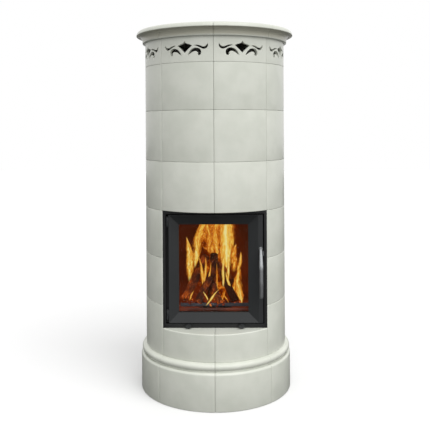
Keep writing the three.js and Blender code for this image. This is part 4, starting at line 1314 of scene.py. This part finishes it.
# %% Flame material
def make_fire():
    fire = Material("fire", Base_Color=(0, 0, 0), Roughness=1.0, Specular_IOR_Level=0.0)
    uv = fire.node("ShaderNodeTexCoord", output="UV")
    across, up = fire.along("X", uv), fire.along("Y", uv)
    tone, heat = fire.attribute("tone"), fire.attribute("glow")
    shift = fire.node("ShaderNodeCombineXYZ", X=across * 1.6 + tone * 9.0, Y=up * 1.5 + tone * 5.0,
                      Z=tone * 4.0)
    streaks = fire.node("ShaderNodeTexNoise", Vector=shift, Scale=2.4, Detail=3.0, Distortion=0.8)
    fine = fire.node("ShaderNodeTexNoise", Vector=shift, Scale=6.0, Detail=3.0, Distortion=1.2)
    off_centre = fire.node("ShaderNodeMath", {"operation": "ABSOLUTE"}, _0=across * 2.0 - 1.0)
    body = (1.0 - off_centre) + (streaks - 0.5) * 1.1 + (fine - 0.5) * 0.4
    fade = up.smooth(0.0, 0.2) * (1.0 - up.smooth(0.94, 1.0))
    warmth = (body * 0.6 + heat * 0.6 - 0.12 + (fine - 0.5) * 1.2 - up * 0.1).clamp()
    colour = fire.node("ShaderNodeValToRGB", {"stops": [
        (0.0, srgb(96, 30, 2)), (0.25, srgb(176, 78, 12)), (0.45, srgb(226, 128, 34)),
        (0.68, srgb(248, 182, 66)), (0.88, srgb(255, 222, 104)), (1.0, srgb(255, 240, 160))]}, Fac=warmth)
    fire.set(Emission_Color=colour, Emission_Strength=1.0, Alpha=(body.smooth(0.06, 0.7) * fade).clamp())
    return fire


fire = make_fire()
print("flame material:", len(fire.tree.nodes), "nodes")

# %% [markdown]
# ## Flame tongues
# Tall, pale tongues fill the top of the chamber behind the logs, and small ones lick round their
# feet. Each is listed by its foot, its tip, its width, its depth, its heat and how blunt it ends.


# %% Flame tongues
def make_tongue(number, foot, tip, width, depth, heat, blunt):
    """A flame from foot to tip, both (x, z), at a depth behind the axis, all in millimetres."""
    piece = start(f"flame_{number}", bpy.ops.mesh.primitive_grid_add, x_subdivisions=8, y_subdivisions=24,
                  size=2, calc_uvs=True)
    wave = random.uniform(0, 6)
    for vertex in piece.data.vertices:
        u, v = vertex.co.x, (vertex.co.y + 1) / 2
        bulge = (0.16 + 0.84 * math.sin(math.pi * min(1, v * 1.6) * 0.5)) * (1 - v ** 2.2 * (1 - blunt))
        sway = math.sin(v * 5 + wave) * 0.16 * width * v
        x = foot[0] + (tip[0] - foot[0]) * v + sway + u * bulge * width / 2
        y = depth + (1 - u * u) * width * 0.12 + math.sin(v * 4 + wave) * 4
        vertex.co = (x * MM, y * MM, (foot[1] + (tip[1] - foot[1]) * v) * MM)
    set_tone(piece)
    set_level(piece, "glow", heat)
    shade(piece, 180)
    return dress(piece, fire, "fire_grate")


tongues = [
    ((44, 480), (60, 758), 88, 46, 0.7, 0.95),
    ((46, 430), (60, 758), 62, 14, 0.95, 0.85),
    ((30, 560), (38, 758), 54, 30, 0.55, 0.9),
    ((0, 430), (0, 758), 250, 80, -0.3, 1.0),
    ((-16, 575), (-18, 758), 150, 62, 0.2, 1.0),
    ((-32, 600), (-36, 758), 54, 36, 0.35, 0.9),
    ((6, 575), (6, 758), 52, 26, 0.45, 0.9),
    ((-100, 552), (-62, 758), 60, 22, 0.6, 0.75),
    ((-100, 538), (-84, 686), 46, -2, 0.8, 0.0),
    ((-124, 466), (-130, 694), 72, 4, 0.7, 0.0),
    ((-130, 540), (-128, 664), 50, -10, 0.85, 0.0),
    ((86, 512), (100, 654), 72, 12, 0.4, 0.1),
    ((104, 518), (128, 622), 36, -6, 0.6, 0.0),
    ((124, 366), (104, 542), 66, -10, 0.65, 0.25),
    ((126, 370), (112, 474), 15, -30, 0.9, 0.0),
    ((-58, 452), (-74, 604), 26, -30, 0.7, 0.0),
    ((-52, 466), (-46, 604), 24, -34, 0.6, 0.0),
    ((-36, 466), (-20, 580), 17, -36, 0.5, 0.0),
    ((10, 440), (4, 576), 14, -42, 0.35, 0.0),
    ((36, 446), (40, 606), 26, -30, 0.9, 0.0),
    ((62, 466), (58, 606), 26, -28, 0.8, 0.0),
    ((70, 440), (50, 536), 24, -36, 0.8, 0.0),
    ((-48, 372), (16, 456), 26, -66, 0.9, 0.0),
    ((-34, 400), (-56, 448), 15, -70, 0.95, 0.0),
    ((-124, 398), (-102, 450), 18, -60, 0.6, 0.0),
    ((26, 392), (46, 444), 17, -60, 0.45, 0.0),
    ((64, 388), (34, 442), 15, -62, 0.4, 0.0),
    ((-10, 350), (-6, 560), 250, 24, -0.25, 0.9),
    ((82, 400), (88, 500), 44, -22, 0.3, 0.0),
]
for number, tongue in enumerate(tongues):
    make_tongue(number, *tongue)
print(len(tongues), "flames")
